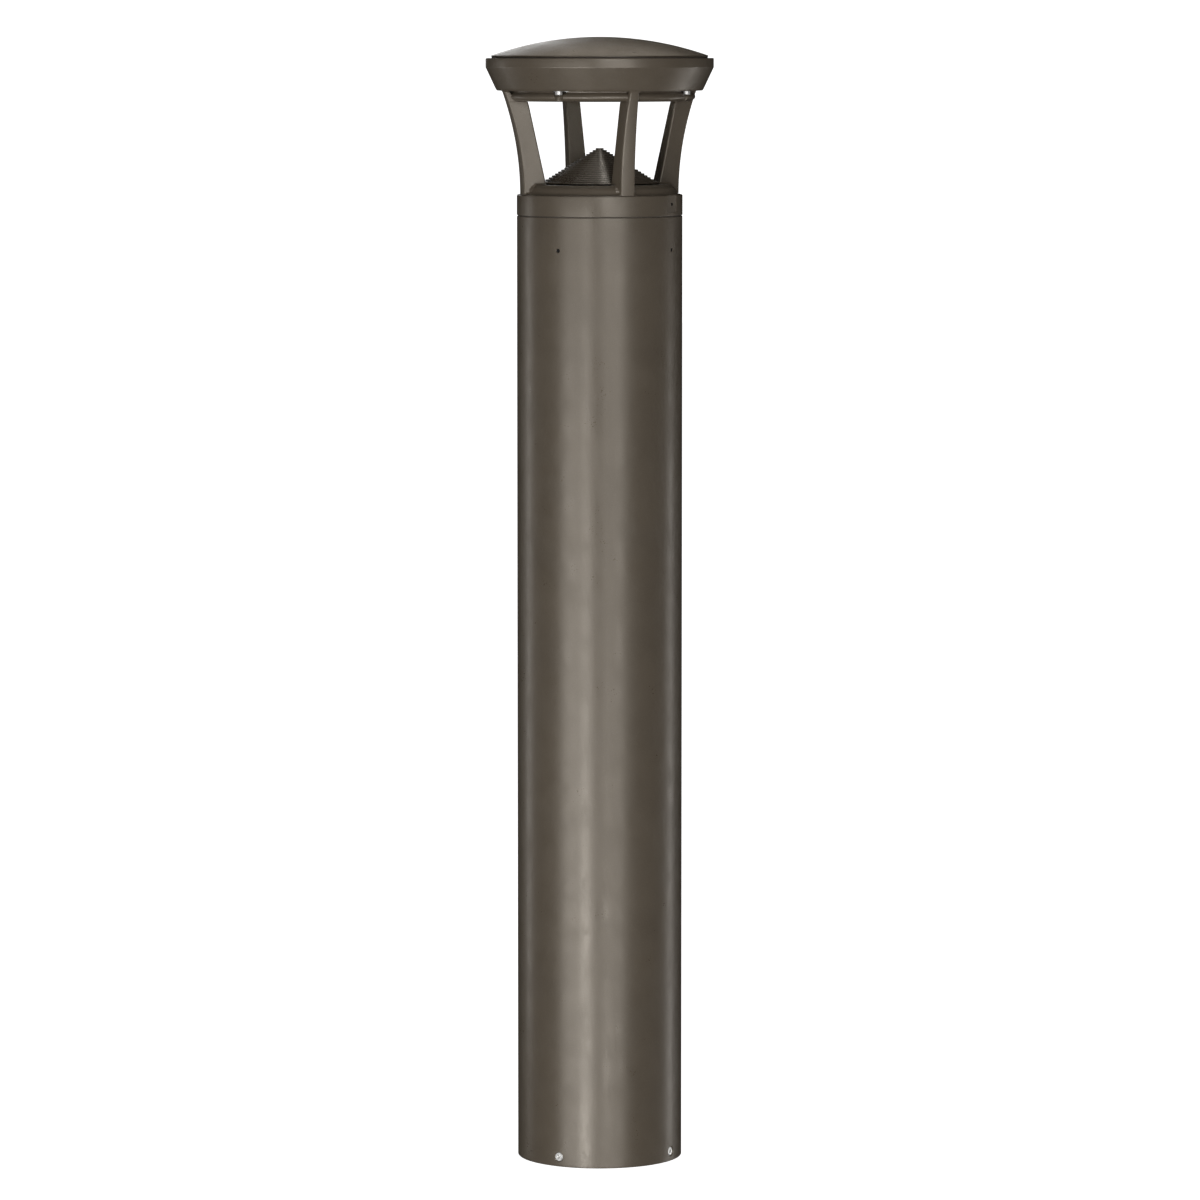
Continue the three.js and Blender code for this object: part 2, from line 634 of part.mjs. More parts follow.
// ---------- Lens pan ----------
function lensPan() {
  const path = new THREE.Path();
  path.moveTo(APERTURE_RADIUS, PAN_FOOT);
  path.lineTo(PAN_FOOT_RADIUS, PAN_FOOT);
  path.bezierCurveTo(86, PAN_FOOT + 0.3, 84.5, PAN_FLANGE_FOOT - 0.6, PAN_RADIUS, PAN_FLANGE_FOOT);
  path.lineTo(PAN_RADIUS, PAN_TOP);
  path.lineTo(PAN_WALL_BORE, PAN_TOP);
  path.lineTo(PAN_WALL_BORE, PAN_SEAT);
  path.lineTo(LENS_RADIUS + 0.4, PAN_SEAT);
  path.lineTo(LENS_RADIUS + 0.4, LENS_SEAT);
  path.lineTo(APERTURE_RADIUS, LENS_SEAT);
  const pocket = post(4.5, PAN_FOOT - PAST, PAN_FLANGE_FOOT, PAN_SCREW_CIRCLE, 12, 7);
  const screwHole = post(holeFor(PAN_SCREW), PAN_FOOT, PAN_TOP + PAST, PAN_SCREW_CIRCLE);
  const leadHole = post(LEAD_HOLE_RADIUS, PAN_FOOT - PAST, PAN_TOP + PAST, LEAD_DROP_CIRCLE);
  const thread = post(holeFor(RETAINER_SCREW), LENS_FOOT - 1, PAN_TOP, RETAINER_SCREW_CIRCLE);
  return cut(revolveRing(path.getPoints(5)), [
    ...fourTurned(pocket, POCKET_PHASE),
    ...fourTurned(screwHole, POCKET_PHASE),
    turned(leadHole, LEAD_AZIMUTH),
    ...retainerAzimuths().map((azimuth) => turned(thread, azimuth)),
  ]);
}

function retainerAzimuths() {
  return [0, 1, 2].map((third) => STRUT_PHASE + 60 + 120 * third);
}

function lensRetainer() {
  const through = [RETAINER_FOOT - PAST, RETAINER_TOP + PAST];
  const screwHole = post(holeFor(RETAINER_SCREW), ...through, RETAINER_SCREW_CIRCLE);
  const leadHole = post(LEAD_HOLE_RADIUS, ...through, LEAD_DROP_CIRCLE);
  return cut(washer(RETAINER_BORE, RETAINER_RADIUS, RETAINER_FOOT, RETAINER_TOP), [
    ...retainerAzimuths().map((azimuth) => turned(screwHole, azimuth)),
    turned(leadHole, LEAD_AZIMUTH),
  ]);
}

function addLensPan() {
  add("lens_pan", lensPan(), bronzePowderCoat);
  const panSeat = PAN_FLANGE_FOOT - 0.2;
  addUprightScrews("pan_screw", screw(PAN_SCREW), POCKET_PHASE, PAN_SCREW_CIRCLE, panSeat, brightSteel);
  const gasketHeights = [LENS_SEAT + 0.2, LENS_FOOT - 0.2];
  const gasket = washer(APERTURE_RADIUS + 1, LENS_RADIUS - 0.9, ...gasketHeights, INNER_SIDES);
  add("lens_gasket", gasket, siliconeRubber);
  const lensOutline = [
    [0, LENS_FOOT],
    [LENS_RADIUS - 0.5, LENS_FOOT],
    [LENS_RADIUS, LENS_FOOT + 0.5],
    [LENS_RADIUS, LENS_TOP],
    [0, LENS_TOP],
  ];
  add("lens", revolve(lensOutline, INNER_SIDES), frostedGlass);
  add("lens_retainer", lensRetainer(), zincSheet);
  const retainerScrew = screw(RETAINER_SCREW);
  retainerAzimuths().forEach((azimuth, index) => {
    const mesh = add(`retainer_screw_${index + 1}`, retainerScrew, brightSteel, spoke(azimuth));
    mesh.position.set(RETAINER_SCREW_CIRCLE, 0, RETAINER_TOP + 0.1);
    mesh.rotation.x = Math.PI;
  });
}

// ---------- Light engine ----------
// The two screws run through the board and the pad into the heat sink.
function boardScrewHoles() {
  const hole = post(holeFor(BOARD_SCREW), BOARD_FOOT - PAST, SINK_TOP - 1, BOARD_SCREW_CIRCLE);
  return BOARD_SCREW_AZIMUTHS.map((azimuth) => turned(hole, azimuth));
}

function ledBoard() {
  const leds = [];
  for (let index = 0; index < LED_COUNT; index++) {
    const half = LED_SIZE / 2;
    const led = block([-half, half], [-half, half], [BOARD_FOOT - 1.6, BOARD_FOOT + 0.5]);
    leds.push(turned(led.translate(LED_CIRCLE, 0, 0), (360 * index) / LED_COUNT));
  }
  return cut(join(post(BOARD_RADIUS, BOARD_FOOT, BOARD_TOP, 0, ROUND_SIDES), leds), boardScrewHoles());
}

function heatSink() {
  const plate = post(SINK_RADIUS, SINK_FOOT, SINK_TOP, 0, ROUND_SIDES);
  const pedestal = post(PEDESTAL_RADIUS, PEDESTAL_FOOT, SINK_FOOT + 1, 0, ROUND_SIDES);
  const fins = [];
  for (let index = 0; index < FIN_COUNT; index++) {
    const fin = block(FIN_REACH, [-1, 1], [SINK_TOP - 1, FIN_TOP]);
    fins.push(turned(fin, POCKET_PHASE + (360 * (index + 0.5)) / FIN_COUNT));
  }
  const through = [SINK_FOOT - PAST, SINK_TOP + PAST];
  const bossNotch = post(BOSS_RADIUS + 1, ...through, BOSS_CIRCLE);
  const screwHole = post(holeFor(SINK_SCREW), ...through, SINK_SCREW_CIRCLE);
  return cut(join(plate, [pedestal, ...fins]), [
    ...fourTurned(bossNotch, STRUT_PHASE),
    ...fourTurned(screwHole, POCKET_PHASE),
    ...boardScrewHoles(),
  ]);
}

function thermalPad() {
  const pad = post(BOARD_RADIUS, BOARD_TOP + GAP / 2, PEDESTAL_FOOT - GAP / 2, 0, INNER_SIDES);
  return cut(pad, boardScrewHoles());
}

function addLightEngine() {
  add("led_board", ledBoard(), boardWhite);
  add("thermal_pad", thermalPad(), thermalGrey);
  add("heat_sink", heatSink(), castAluminium);
  const boardScrew = screw(BOARD_SCREW);
  BOARD_SCREW_AZIMUTHS.forEach((azimuth, index) => {
    const mesh = add(`board_screw_${index + 1}`, boardScrew, brightSteel, spoke(azimuth));
    mesh.position.set(BOARD_SCREW_CIRCLE, 0, BOARD_FOOT - 0.1);
  });
  const sinkScrew = screw(SINK_SCREW);
  const sinkSeat = SINK_TOP + GAP;
  addUprightScrews("heatsink_screw", sinkScrew, POCKET_PHASE, SINK_SCREW_CIRCLE, sinkSeat, brightSteel, true);
}

// ---------- Domed lid ----------
// The height of a sphere cap of the dome's crown at a radius.
function capHeight(radius, sphere, crown) {
  return crown - sphere + Math.sqrt(sphere ** 2 - radius ** 2);
}

function domeCover() {
  const inner = DOME_RADIUS - DOME_WALL;
  const crown = DOME_TOP - DOME_WALL;
  const bays = 4;
  const outline = [];
  for (let bay = 0; bay <= bays; bay++) {
    const radius = (DOME_BORE * bay) / bays;
    outline.push([radius, capHeight(radius, inner, crown)]);
  }
  outline.push(
    [DOME_BORE, DOME_RIM_FOOT],
    [DOME_RIM_RADIUS, DOME_RIM_FOOT],
    [DOME_RIM_RADIUS, DOME_RIM_FOOT + 0.7],
  );
  for (let bay = bays; bay >= 0; bay--) {
    const radius = ((DOME_RIM_RADIUS - 0.9) * bay) / bays;
    outline.push([radius, capHeight(radius, DOME_RADIUS, DOME_TOP)]);
  }
  const bosses = fourTurned(post(BOSS_RADIUS, SHELF_TOP + GAP, BOSS_TOP, BOSS_CIRCLE), STRUT_PHASE);
  const thread = post(holeFor(COVER_SCREW), SHELF_TOP - PAST, BOSS_TOP - 9, BOSS_CIRCLE);
  const threads = fourTurned(thread, STRUT_PHASE);
  return cut(join(revolve(outline), bosses), threads);
}

function addLid() {
  add("dome_cover", domeCover(), bronzePowderCoat);
  const gasket = washer(DOME_BORE + 2.5, DOME_RIM_RADIUS - 1.4, BAND_TOP + GAP, DOME_RIM_FOOT - GAP);
  add("cover_gasket", gasket, siliconeRubber);
  const coverSeat = SHELF_FOOT + COVER_SCREW.headHeight + 0.2;
  addUprightScrews("cover_screw", screw(COVER_SCREW), STRUT_PHASE, BOSS_CIRCLE, coverSeat, brightSteel);
}

// ---------- Driver tray, hung from the collar's deck ----------
function driverScrewHoles() {
  return DRIVER_SCREW_HEIGHTS.map((height) => bar(holeFor(DRIVER_SCREW), -TRAY_SHEET - PAST, 5, height));
}

function driverTray() {
  const plate = block([-TRAY_SHEET, 0], [-TRAY_HALF_WIDTH, TRAY_HALF_WIDTH], [TRAY_FOOT, TRAY_TOP]);
  const flangeHalfWidth = TRAY_HALF_WIDTH - 8;
  const flange = block(
    [TRAY_FLANGE_REACH, 0],
    [-flangeHalfWidth, flangeHalfWidth],
    [TRAY_TOP - TRAY_SHEET, TRAY_TOP],
  );
  const lips = [-TRAY_HALF_WIDTH, TRAY_HALF_WIDTH - TRAY_SHEET].map((edge) =>
    block([-TRAY_SHEET, TRAY_LIP], [edge, edge + TRAY_SHEET], [TRAY_FOOT, TRAY_TOP - 30]),
  );
  const flangeHoles = [-1, 1].map((side) =>
    post(holeFor(TRAY_SCREW), TRAY_TOP - TRAY_SHEET - PAST, TRAY_TOP + PAST, TRAY_SCREW_REACH).translate(
      0,
      side * TRAY_SCREW_SPREAD,
      0,
    ),
  );
  const studHole = bar(SURGE_STUD_RADIUS + GAP, -TRAY_SHEET - PAST, PAST, SURGE_STUD_HEIGHT);
  return cut(join(plate, [flange, ...lips]), [...flangeHoles, ...driverScrewHoles(), studHole]);
}

function ledDriver() {
  const tabs = block([GAP, 3], [-9, 9], [DRIVER_FOOT - DRIVER_TAB, DRIVER_TOP + DRIVER_TAB]);
  const body = block(
    [GAP, DRIVER_DEPTH],
    [-DRIVER_HALF_WIDTH, DRIVER_HALF_WIDTH],
    [DRIVER_FOOT, DRIVER_TOP],
  );
  return cut(join(body, [tabs]), driverScrewHoles());
}

function terminalBlock() {
  const depth = 18;
  const [foot, top] = TERMINAL_BODY;
  const body = block([GAP, depth], [-1.6 * TERMINAL_PITCH, 1.6 * TERMINAL_PITCH], TERMINAL_BODY);
  const poles = [-TERMINAL_PITCH, 0, TERMINAL_PITCH];
  const wireHoles = poles.map((side) => post(2.2, foot - PAST, foot + 10, 10).translate(0, side, 0));
  const middle = (foot + top) / 2;
  const screwWells = poles.map((side) => bar(2.4, depth - 4, depth + PAST, middle).translate(0, side, 0));
  return cut(body, [...wireHoles, ...screwWells]);
}

function surgeProtector() {
  const stud = bar(SURGE_STUD_RADIUS, -TRAY_SHEET - 3, 7, SURGE_STUD_HEIGHT);
  return join(block([-24, -TRAY_SHEET - GAP], [-17, 17], SURGE_BODY), [stud]);
}

function surgeNut() {
  const thickness = 4.5;
  const thread = bar(SURGE_STUD_RADIUS + GAP, -PAST, thickness + PAST, 0);
  return cut(bar(5.5, GAP, thickness, 0, 6), [thread]);
}

// A lead along a smooth route of [x, y, z] points.
function lead(route, radius, steps) {
  const circle = new THREE.Shape().absarc(0, 0, radius, 0, 2 * Math.PI);
  const extrudePath = new THREE.CatmullRomCurve3(route.map((point) => new THREE.Vector3(...point)));
  return new THREE.ExtrudeGeometry(circle, { steps, curveSegments: 4, extrudePath });
}

// Where the lead's centre lies in the groove, at a height.
function grooveLine(height) {
  return [strutInner(height) + GROOVE_DEPTH - LEAD_RADIUS - 0.5, 0, height];
}

function addDriverTray() {
  const group = spoke(LEAD_AZIMUTH);
  add("driver_tray", driverTray(), zincSheet, group);
  const trayScrew = screw(TRAY_SCREW);
  [-1, 1].forEach((side, index) => {
    const mesh = add(`tray_screw_${index + 1}`, trayScrew, brightSteel, group);
    mesh.position.set(TRAY_SCREW_REACH, side * TRAY_SCREW_SPREAD, TRAY_TOP - TRAY_SHEET - GAP);
  });
  add("led_driver", ledDriver(), driverWhite, group);
  const driverScrew = screw(DRIVER_SCREW);
  DRIVER_SCREW_HEIGHTS.forEach((height, index) => {
    const mesh = add(`driver_screw_${index + 1}`, driverScrew, brightSteel, group);
    mesh.position.set(3 + GAP, 0, height);
    mesh.rotation.y = -Math.PI / 2;
  });
  add("surge_protector", surgeProtector(), surgeBlack, group);
  const ledRoute = [
    [BOARD_RADIUS + 1, 0, BOARD_TOP - 0.8],
    [58, 0, 994.6],
    [68, 0, 995.6],
    [74.2, 0, 994.6],
    [LEAD_DROP_CIRCLE, 0, 990.5],
    [LEAD_DROP_CIRCLE, 0, 984],
    ...[976, 940, 906, 898].map(grooveLine),
    [52, 0, 889.5],
    [38, 0, 887],
    [22, 0, 884],
    [14, 0, 872],
    [14, 0, 850],
    [14, 0, DRIVER_TOP + GAP],
  ];
  add("led_lead", lead(ledRoute, LEAD_RADIUS, 30), leadGrey, group);
  const nut = add("surge_nut", surgeNut(), brightSteel, group);
  nut.position.set(0, 0, SURGE_STUD_HEIGHT);
  add("terminal_block", terminalBlock(), terminalGreen, group);
  const driverRoute = [
    [20, 0, DRIVER_FOOT - GAP],
    [20, 0, 726],
    [11, 0, 716],
    [10, 0, TERMINAL_BODY[1] + 5],
    [10, 0, TERMINAL_BODY[1] + GAP],
  ];
  add("driver_lead", lead(driverRoute, LEAD_RADIUS, 10), leadGrey, group);
}

addShaft();
addCollar();
addCage();
addLensPan();
addLightEngine();
addLid();
addDriverTray();

export default bollard;
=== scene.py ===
from math import ceil, cos, pi, radians, sin, sqrt, tan

import bmesh
import bpy
from mathutils import Matrix, Vector


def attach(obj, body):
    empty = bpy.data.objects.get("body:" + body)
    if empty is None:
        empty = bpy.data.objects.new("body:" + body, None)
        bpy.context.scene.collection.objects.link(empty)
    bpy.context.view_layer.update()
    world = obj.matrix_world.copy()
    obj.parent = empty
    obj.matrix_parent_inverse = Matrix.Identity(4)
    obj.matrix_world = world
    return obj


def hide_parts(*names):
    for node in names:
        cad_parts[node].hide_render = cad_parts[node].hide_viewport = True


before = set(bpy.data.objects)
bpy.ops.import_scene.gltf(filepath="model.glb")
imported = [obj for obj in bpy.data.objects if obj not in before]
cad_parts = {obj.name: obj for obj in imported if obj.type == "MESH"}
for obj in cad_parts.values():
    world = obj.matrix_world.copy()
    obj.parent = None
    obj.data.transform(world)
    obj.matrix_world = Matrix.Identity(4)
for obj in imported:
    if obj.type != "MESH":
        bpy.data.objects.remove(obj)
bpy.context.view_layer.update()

MM = 0.001
GAP = 0.3  # left between a screw and what it holds

# ---------- Sizes shared by several pieces ----------
TUBE_RADIUS = 76.2
TUBE_BORE = 73.0
TUBE_TOP = 874.9
COLLAR_RADIUS = 76.3
COLLAR_FOOT = 876.0
COLLAR_TOP = 894.6
DECK_FOOT = 874.0
DECK_TOP = 882.0
RING_SEAT = 882.3
RING_FLOOR = 896.0
RING_TOP = 904.0
RING_RADIUS = 74.4
SKIRT_RADIUS = 104.85
SKIRT_FOOT = 991.6
SHELF_FOOT = 993.0
SHELF_TOP = 999.3
BAND_TOP = 1019.6
STRUT_FOOT = 895.2
STRUT_LEDGE = 980.1
PAN_FOOT = 980.15  # it sits on the struts' ledges
PAN_FLANGE_FOOT = 990.2
BOARD_FOOT = 994.4
DOME_RIM_FOOT = 1020.9


def quarters(phase):
    return [phase + 90 * quarter for quarter in range(4)]


STRUTS = quarters(20)  # azimuths
POCKETS = quarters(-25)
SHAFT_SCREWS = quarters(-30)
SLOTS = quarters(15)
GROUND_AZIMUTH = 60
LEAD_AZIMUTH = 290
PAD_AZIMUTH = 60.6
PAD_SCREW_AZIMUTH = 60.9
RETAINER_AZIMUTHS = (80, 200, 320)
BOARD_AZIMUTHS = (0, 180)
FOOT_SCREW_HEIGHT = 9
SET_SCREW_HEIGHT = 845
PAD_SCREW_HEIGHT = 886.4
GROUND_CIRCLE = 52  # radii of the circles that the screws and the LEDs stand on
CAGE_CIRCLE = 60
PAN_CIRCLE = 87.6
SINK_CIRCLE = 79.5
COVER_CIRCLE = 84.5
RETAINER_CIRCLE = 78
BOARD_CIRCLE = 20
LED_CIRCLE = 36
LEAD_REACH = 75.8  # where the lead passes the edge of the lens
LEAD_RADIUS = 1.8
TRAY_SCREWS = ((-40, -20), (-40, 20))  # x and y on the spoke that carries the tray
TRAY_TOP = 873.7
SHEET = 2  # thickness of the tray
DRIVER_SCREW_HEIGHTS = (730, 840)
CLAMP_HEIGHT = 695
POLES = (-11, 0, 11)  # y of the terminal block's clamps
STUD_HEIGHT = 715.5
FINE = 256  # sides of a turned piece, from large ones to small ones
ROUND = 192
MEDIUM = 96
SMALL = 40
HEXAGON = 6


# ---------- Finishes ----------
NOISE_MIDDLE = (0.3, 0.7)  # most of a noise lies between these


class Nodes:
    """A short way to write a material's node tree."""

    def __init__(self, name):
        self.material = bpy.data.materials.new(name)
        self.material.use_nodes = True
        self.tree = self.material.node_tree
        self.tree.nodes.clear()
        output = self.node("OutputMaterial")
        self.shader = self.node("BsdfPrincipled")
        self.link(self.shader.outputs[0], output.inputs["Surface"])
        self.place = self.node("TexCoord").outputs["Object"]

    def node(self, kind, **values):
        made = self.tree.nodes.new("ShaderNode" + kind)
        self.fill(made, **values)
        return made

    def fill(self, node, **values):
        """Sets a node's sockets, whose names are given with underscores."""
        for socket, value in values.items():
            node.inputs[socket.replace("_", " ")].default_value = value

    def set(self, **values):
        self.fill(self.shader, **values)

    def link(self, source, target):
        self.tree.links.new(source, target)

    def noise(self, size, detail, stretch=(1, 1, 1)):
        """Noise with features of about this many millimetres."""
        mapping = self.node("Mapping", Scale=stretch)
        self.link(self.place, mapping.inputs["Vector"])
        node = self.node("TexNoise", Scale=1 / (size * MM), Detail=detail)
        self.link(mapping.outputs[0], node.inputs["Vector"])
        return node.outputs["Fac"]

    def cells(self, size):
        node = self.node("TexVoronoi", Scale=1 / (size * MM))
        self.link(self.place, node.inputs["Vector"])
        return node.outputs["Distance"]

    def span(self, source, low, high, start=0.0, end=1.0):
        """Maps source from start..end to low..high."""
        node = self.node("MapRange", From_Min=start, From_Max=end, To_Min=low, To_Max=high)
        self.link(source, node.inputs["Value"])
        return node.outputs[0]

    def spread(self, size, detail, low=0.0, high=1.0, stretch=(1, 1, 1)):
        """Noise spread over low..high."""
        return self.span(self.noise(size, detail, stretch), low, high, *NOISE_MIDDLE)

    def feed(self, socket, value):
        """Links a socket, or sets it to a number or to a colour of three numbers."""
        if isinstance(value, bpy.types.NodeSocket):
            self.link(value, socket)
        else:
            socket.default_value = (*value, 1.0) if isinstance(value, tuple) else value

    def maths(self, operation, a, b):
        node = self.node("Math")
        node.operation = operation
        for socket, value in zip(node.inputs, (a, b)):
            self.feed(socket, value)
        return node.outputs[0]

    def mix(self, factor, a, b):
        """Mixes two colours, each a tuple or a socket."""
        node = self.node("Mix")
        node.data_type = "RGBA"
        self.link(factor, node.inputs["Factor"])
        for socket, value in zip([s for s in node.inputs if s.type == "RGBA"], (a, b)):
            self.feed(socket, value)
        return next(s for s in node.outputs if s.type == "RGBA")

    def edge(self, start, end):
        """1 on the edges that stand out, 0 elsewhere."""
        return self.span(self.node("NewGeometry").outputs["Pointiness"], 0.0, 1.0, start, end)

    def height(self):
        node = self.node("SeparateXYZ")
        self.link(self.place, node.inputs[0])
        return node.outputs["Z"]

    def bump(self, source, strength, distance, below=None):
        node = self.node("Bump", Strength=strength, Distance=distance * MM)
        self.link(source, node.inputs["Height"])
        if below is not None:
            self.link(below, node.inputs["Normal"])
        return node.outputs[0]

    def finish(self, colour, roughness, normal):
        self.link(colour, self.shader.inputs["Base Color"])
        self.link(roughness, self.shader.inputs["Roughness"])
        self.link(normal, self.shader.inputs["Normal"])
        return self.material


def powder_coat(name, colour, dark, fleck_wear_and_highlight, roughness):
    """A sprayed and baked coat: orange peel, fine speckle, and paler where edges stand out, partly
    a thinner coat and partly a painted highlight.
    """
    n = Nodes(name)
    n.set(IOR=1.5, Specular_IOR_Level=0.9, Specular_Tint=(1.0, 0.93, 0.83, 1.0))
    tone = n.mix(n.spread(38, 3), dark, colour)
    speckle = n.span(n.noise(0.7, 1), 0.0, 0.3, 0.52, 0.78)
    lit = n.mix(speckle, tone, fleck_wear_and_highlight)
    # Paler, smoother edges: a thinner coat, and a painted highlight along them
    edge_wear_and_highlight = n.maths("MULTIPLY", n.edge(0.515, 0.62), n.span(n.noise(7, 4), 0.15, 0.75, 0.35, 0.65))
    base = n.mix(edge_wear_and_highlight, lit, fleck_wear_and_highlight)
    patches = n.spread(22, 3, roughness - 0.05, roughness + 0.05)
    rough = n.maths("ADD", patches, n.spread(1.4, 2, -0.05, 0.05))
    rough = n.maths("SUBTRACT", rough, n.maths("MULTIPLY", edge_wear_and_highlight, 0.08))
    peel = n.bump(n.noise(2.6, 2), 0.35, 0.05)
    grain = n.bump(n.noise(0.55, 2), 0.3, 0.03, peel)
    return n.finish(base, rough, grain)


def cast_metal(name, colour, roughness):
    n = Nodes(name)
    n.set(Metallic=1.0)
    pale = tuple(min(1.0, 1.15 * c) for c in colour)
    dull = tuple(0.72 * c for c in colour)
    tone = n.mix(n.spread(14, 4), dull, colour)
    base = n.mix(n.maths("MULTIPLY", n.edge(0.52, 0.62), 0.8), tone, pale)
    rough = n.spread(5, 3, roughness - 0.1, roughness + 0.1)
    skin = n.bump(n.noise(1.6, 4), 0.5, 0.12)
    return n.finish(base, rough, n.bump(n.cells(0.9), 0.25, 0.05, skin))


def turned_steel(name, colour, roughness, metallic):
    n = Nodes(name)
    n.set(Metallic=metallic)
    dull = tuple(0.8 * c for c in colour)
    base = n.mix(n.spread(1.5, 3), dull, colour)
    rough = n.spread(0.5, 2, roughness - 0.07, roughness + 0.1)
    return n.finish(base, rough, n.bump(n.noise(0.22, 2), 0.2, 0.01))


def rolled_sheet(name, colour, roughness):
    """Zinc-plated sheet: faint rolling lines and a blotchy lustre."""
    n = Nodes(name)
    n.set(Metallic=1.0)
    warm = (colour[0], 0.96 * colour[1], 0.84 * colour[2])
    tone = n.mix(n.span(n.noise(17, 4), 0.0, 0.5, 0.35, 0.7), colour, warm)
    base = n.mix(n.span(n.cells(5), 0.0, 0.35, 0.1, 0.6), tone, tuple(0.75 * c for c in colour))
    rough = n.spread(3, 3, roughness - 0.08, roughness + 0.12, (1, 1, 0.06))
    lines = n.bump(n.noise(0.5, 2, (1, 1, 0.02)), 0.25, 0.02)
    return n.finish(base, rough, lines)


def moulding(name, colour, roughness, grain=0.35, depth=0.03):
    """Moulded plastic or rubber with a sparked texture."""
    n = Nodes(name)
    n.set(IOR=1.46)
    dark = tuple(0.84 * c for c in colour)
    light = tuple(min(1.0, 1.1 * c + 0.01) for c in colour)
    tone = n.mix(n.spread(11, 3), dark, colour)
    base = n.mix(n.maths("MULTIPLY", n.edge(0.52, 0.62), 0.6), tone, light)
    rough = n.spread(2.2, 3, roughness - 0.07, roughness + 0.07)
    sparks = n.bump(n.noise(grain, 2), 0.45, depth)
    return n.finish(base, rough, sparks)


def frosted_glass(name):
    n = Nodes(name)
    n.set(Transmission_Weight=0.72, IOR=1.47)
    base = n.mix(n.spread(9, 3), (0.86, 0.9, 0.9), (0.93, 0.96, 0.96))
    rough = n.spread(1.2, 3, 0.3, 0.42)
    return n.finish(base, rough, n.bump(n.noise(0.35, 2), 0.4, 0.03))


def circuit_board(name):
    """White solder mask, and yellow phosphor on the packages that stand below it."""
    n = Nodes(name)
    mask = n.mix(n.spread(6, 3), (0.78, 0.78, 0.74), (0.86, 0.86, 0.83))
    below = n.span(n.height(), 1.0, 0.0, (BOARD_FOOT - 0.35) * MM, (BOARD_FOOT - 0.25) * MM)
    base = n.mix(below, mask, (0.85, 0.62, 0.12))
    rough = n.spread(0.8, 3, 0.35, 0.5)
    return n.finish(base, rough, n.bump(n.noise(0.6, 2), 0.25, 0.02))


RECIPES = {
    # Powder coats: colour, darker patches, paler flecks and edges, roughness; the paler edges are
    # partly a painted highlight
    "bronze_powder_coat": (
        powder_coat, (0.083, 0.067, 0.049), (0.074, 0.0597, 0.0437), (0.15, 0.124, 0.095), 0.36
    ),
    "dark_baffle": (
        powder_coat, (0.066, 0.053, 0.039), (0.058, 0.0465, 0.034), (0.12, 0.1, 0.076), 0.32
    ),
    "cast_aluminium": (cast_metal, (0.56, 0.57, 0.58), 0.48),
    "bright_steel": (turned_steel, (0.86, 0.85, 0.83), 0.34, 0.65),
    "black_steel": (turned_steel, (0.045, 0.044, 0.043), 0.42, 0.85),
    "zinc_sheet": (rolled_sheet, (0.62, 0.64, 0.66), 0.36),
    "silicone_rubber": (moulding, (0.08, 0.068, 0.054), 0.62),
    "frosted_lens": (frosted_glass,),
    "board_white": (circuit_board,),
    "thermal_grey": (moulding, (0.3, 0.33, 0.36), 0.75, 0.6, 0.05),
    "driver_case": (moulding, (0.7, 0.71, 0.7), 0.42),
    "surge_case": (moulding, (0.03, 0.032, 0.036), 0.48),
    "terminal_body": (moulding, (0.06, 0.2, 0.1), 0.4),
    "lead_jacket": (moulding, (0.07, 0.07, 0.074), 0.55, 0.25, 0.02),
}
FINISHES = {name: recipe(name, *values) for name, (recipe, *values) in RECIPES.items()}


# ---------- Outlines ----------
def filleted(before, corner, after, radius):
    """The corner of an outline, rounded, with a point held on each straight beside it."""
    a, b = before - corner, after - corner
    room = min(a.length, b.length)
    a.normalize()
    b.normalize()
    angle = a.angle(b)
    if radius <= 0 or angle > radians(176):
        return [corner]
    reach = min(radius / tan(angle / 2), 0.49 * room)
    radius = reach * tan(angle / 2)
    centre = corner + (a + b).normalized() * (radius / sin(angle / 2))
    first, last = corner + a * reach - centre, corner + b * reach - centre
    sweep = pi - angle
    steps = max(2, ceil(sweep / radians(16)))
    points = []
    for step in range(steps + 1):
        share = step / steps
        weight_a = sin((1 - share) * sweep) / sin(sweep)
        weight_b = sin(share * sweep) / sin(sweep)
        points.append(centre + first * weight_a + last * weight_b)
    hold = 0.5
    if room > 2 * (reach + hold) + 1:
        points = [points[0] + a * hold, *points, points[-1] + b * hold]
    return points


def outline(corners, ring=True, soft=0.0):
    """Rounds corners given as (radius, height) or (radius, height, fillet), or as x and y.

    An open outline, with ring=False, keeps its two ends.
    """
    places = [Vector(c[:2]) for c in corners]
    count = len(corners)
    points = []
    for i, corner in enumerate(corners):
        radius = corner[2] if len(corner) > 2 else soft
        if not ring and i in (0, count - 1):
            points.append(places[i])
            continue
        points += filleted(places[i - 1], places[i], places[(i + 1) % count], radius)
    return [(p.x, p.y) for p in points]


def bezier(start, first, second, end, steps):
    """Points after start, up to end."""
    found = []
    for step in range(1, steps + 1):
        t = step / steps
        s = 1 - t
        weights = (s**3, 3 * s * s * t, 3 * s * t * t, t**3)
        knots = (start, first, second, end)
        found.append(tuple(sum(w * knot[k] for w, knot in zip(weights, knots)) for k in (0, 1)))
    return found


def quadratic(start, control, end, steps):
    return bezier(
        start,
        tuple(start[k] + 2 / 3 * (control[k] - start[k]) for k in (0, 1)),
        tuple(end[k] + 2 / 3 * (control[k] - end[k]) for k in (0, 1)),
        end,
        steps,
    )


# ---------- Meshes ----------
def linked(name, data):
    """A new object in the scene."""
    obj = bpy.data.objects.new(name, data)
    bpy.context.scene.collection.objects.link(obj)
    return obj


def new_object(vertices, faces):
    """Vertices in millimetres."""
    mesh = bpy.data.meshes.new("shape")
    mesh.from_pydata([tuple(MM * c for c in v) for v in vertices], [], faces)
    obj = linked("shape", mesh)
    work = bmesh.new()
    work.from_mesh(mesh)
    bmesh.ops.remove_doubles(work, verts=work.verts, dist=1e-8)
    bmesh.ops.recalc_face_normals(work, faces=work.faces)
    work.to_mesh(mesh)
    work.free()
    return obj


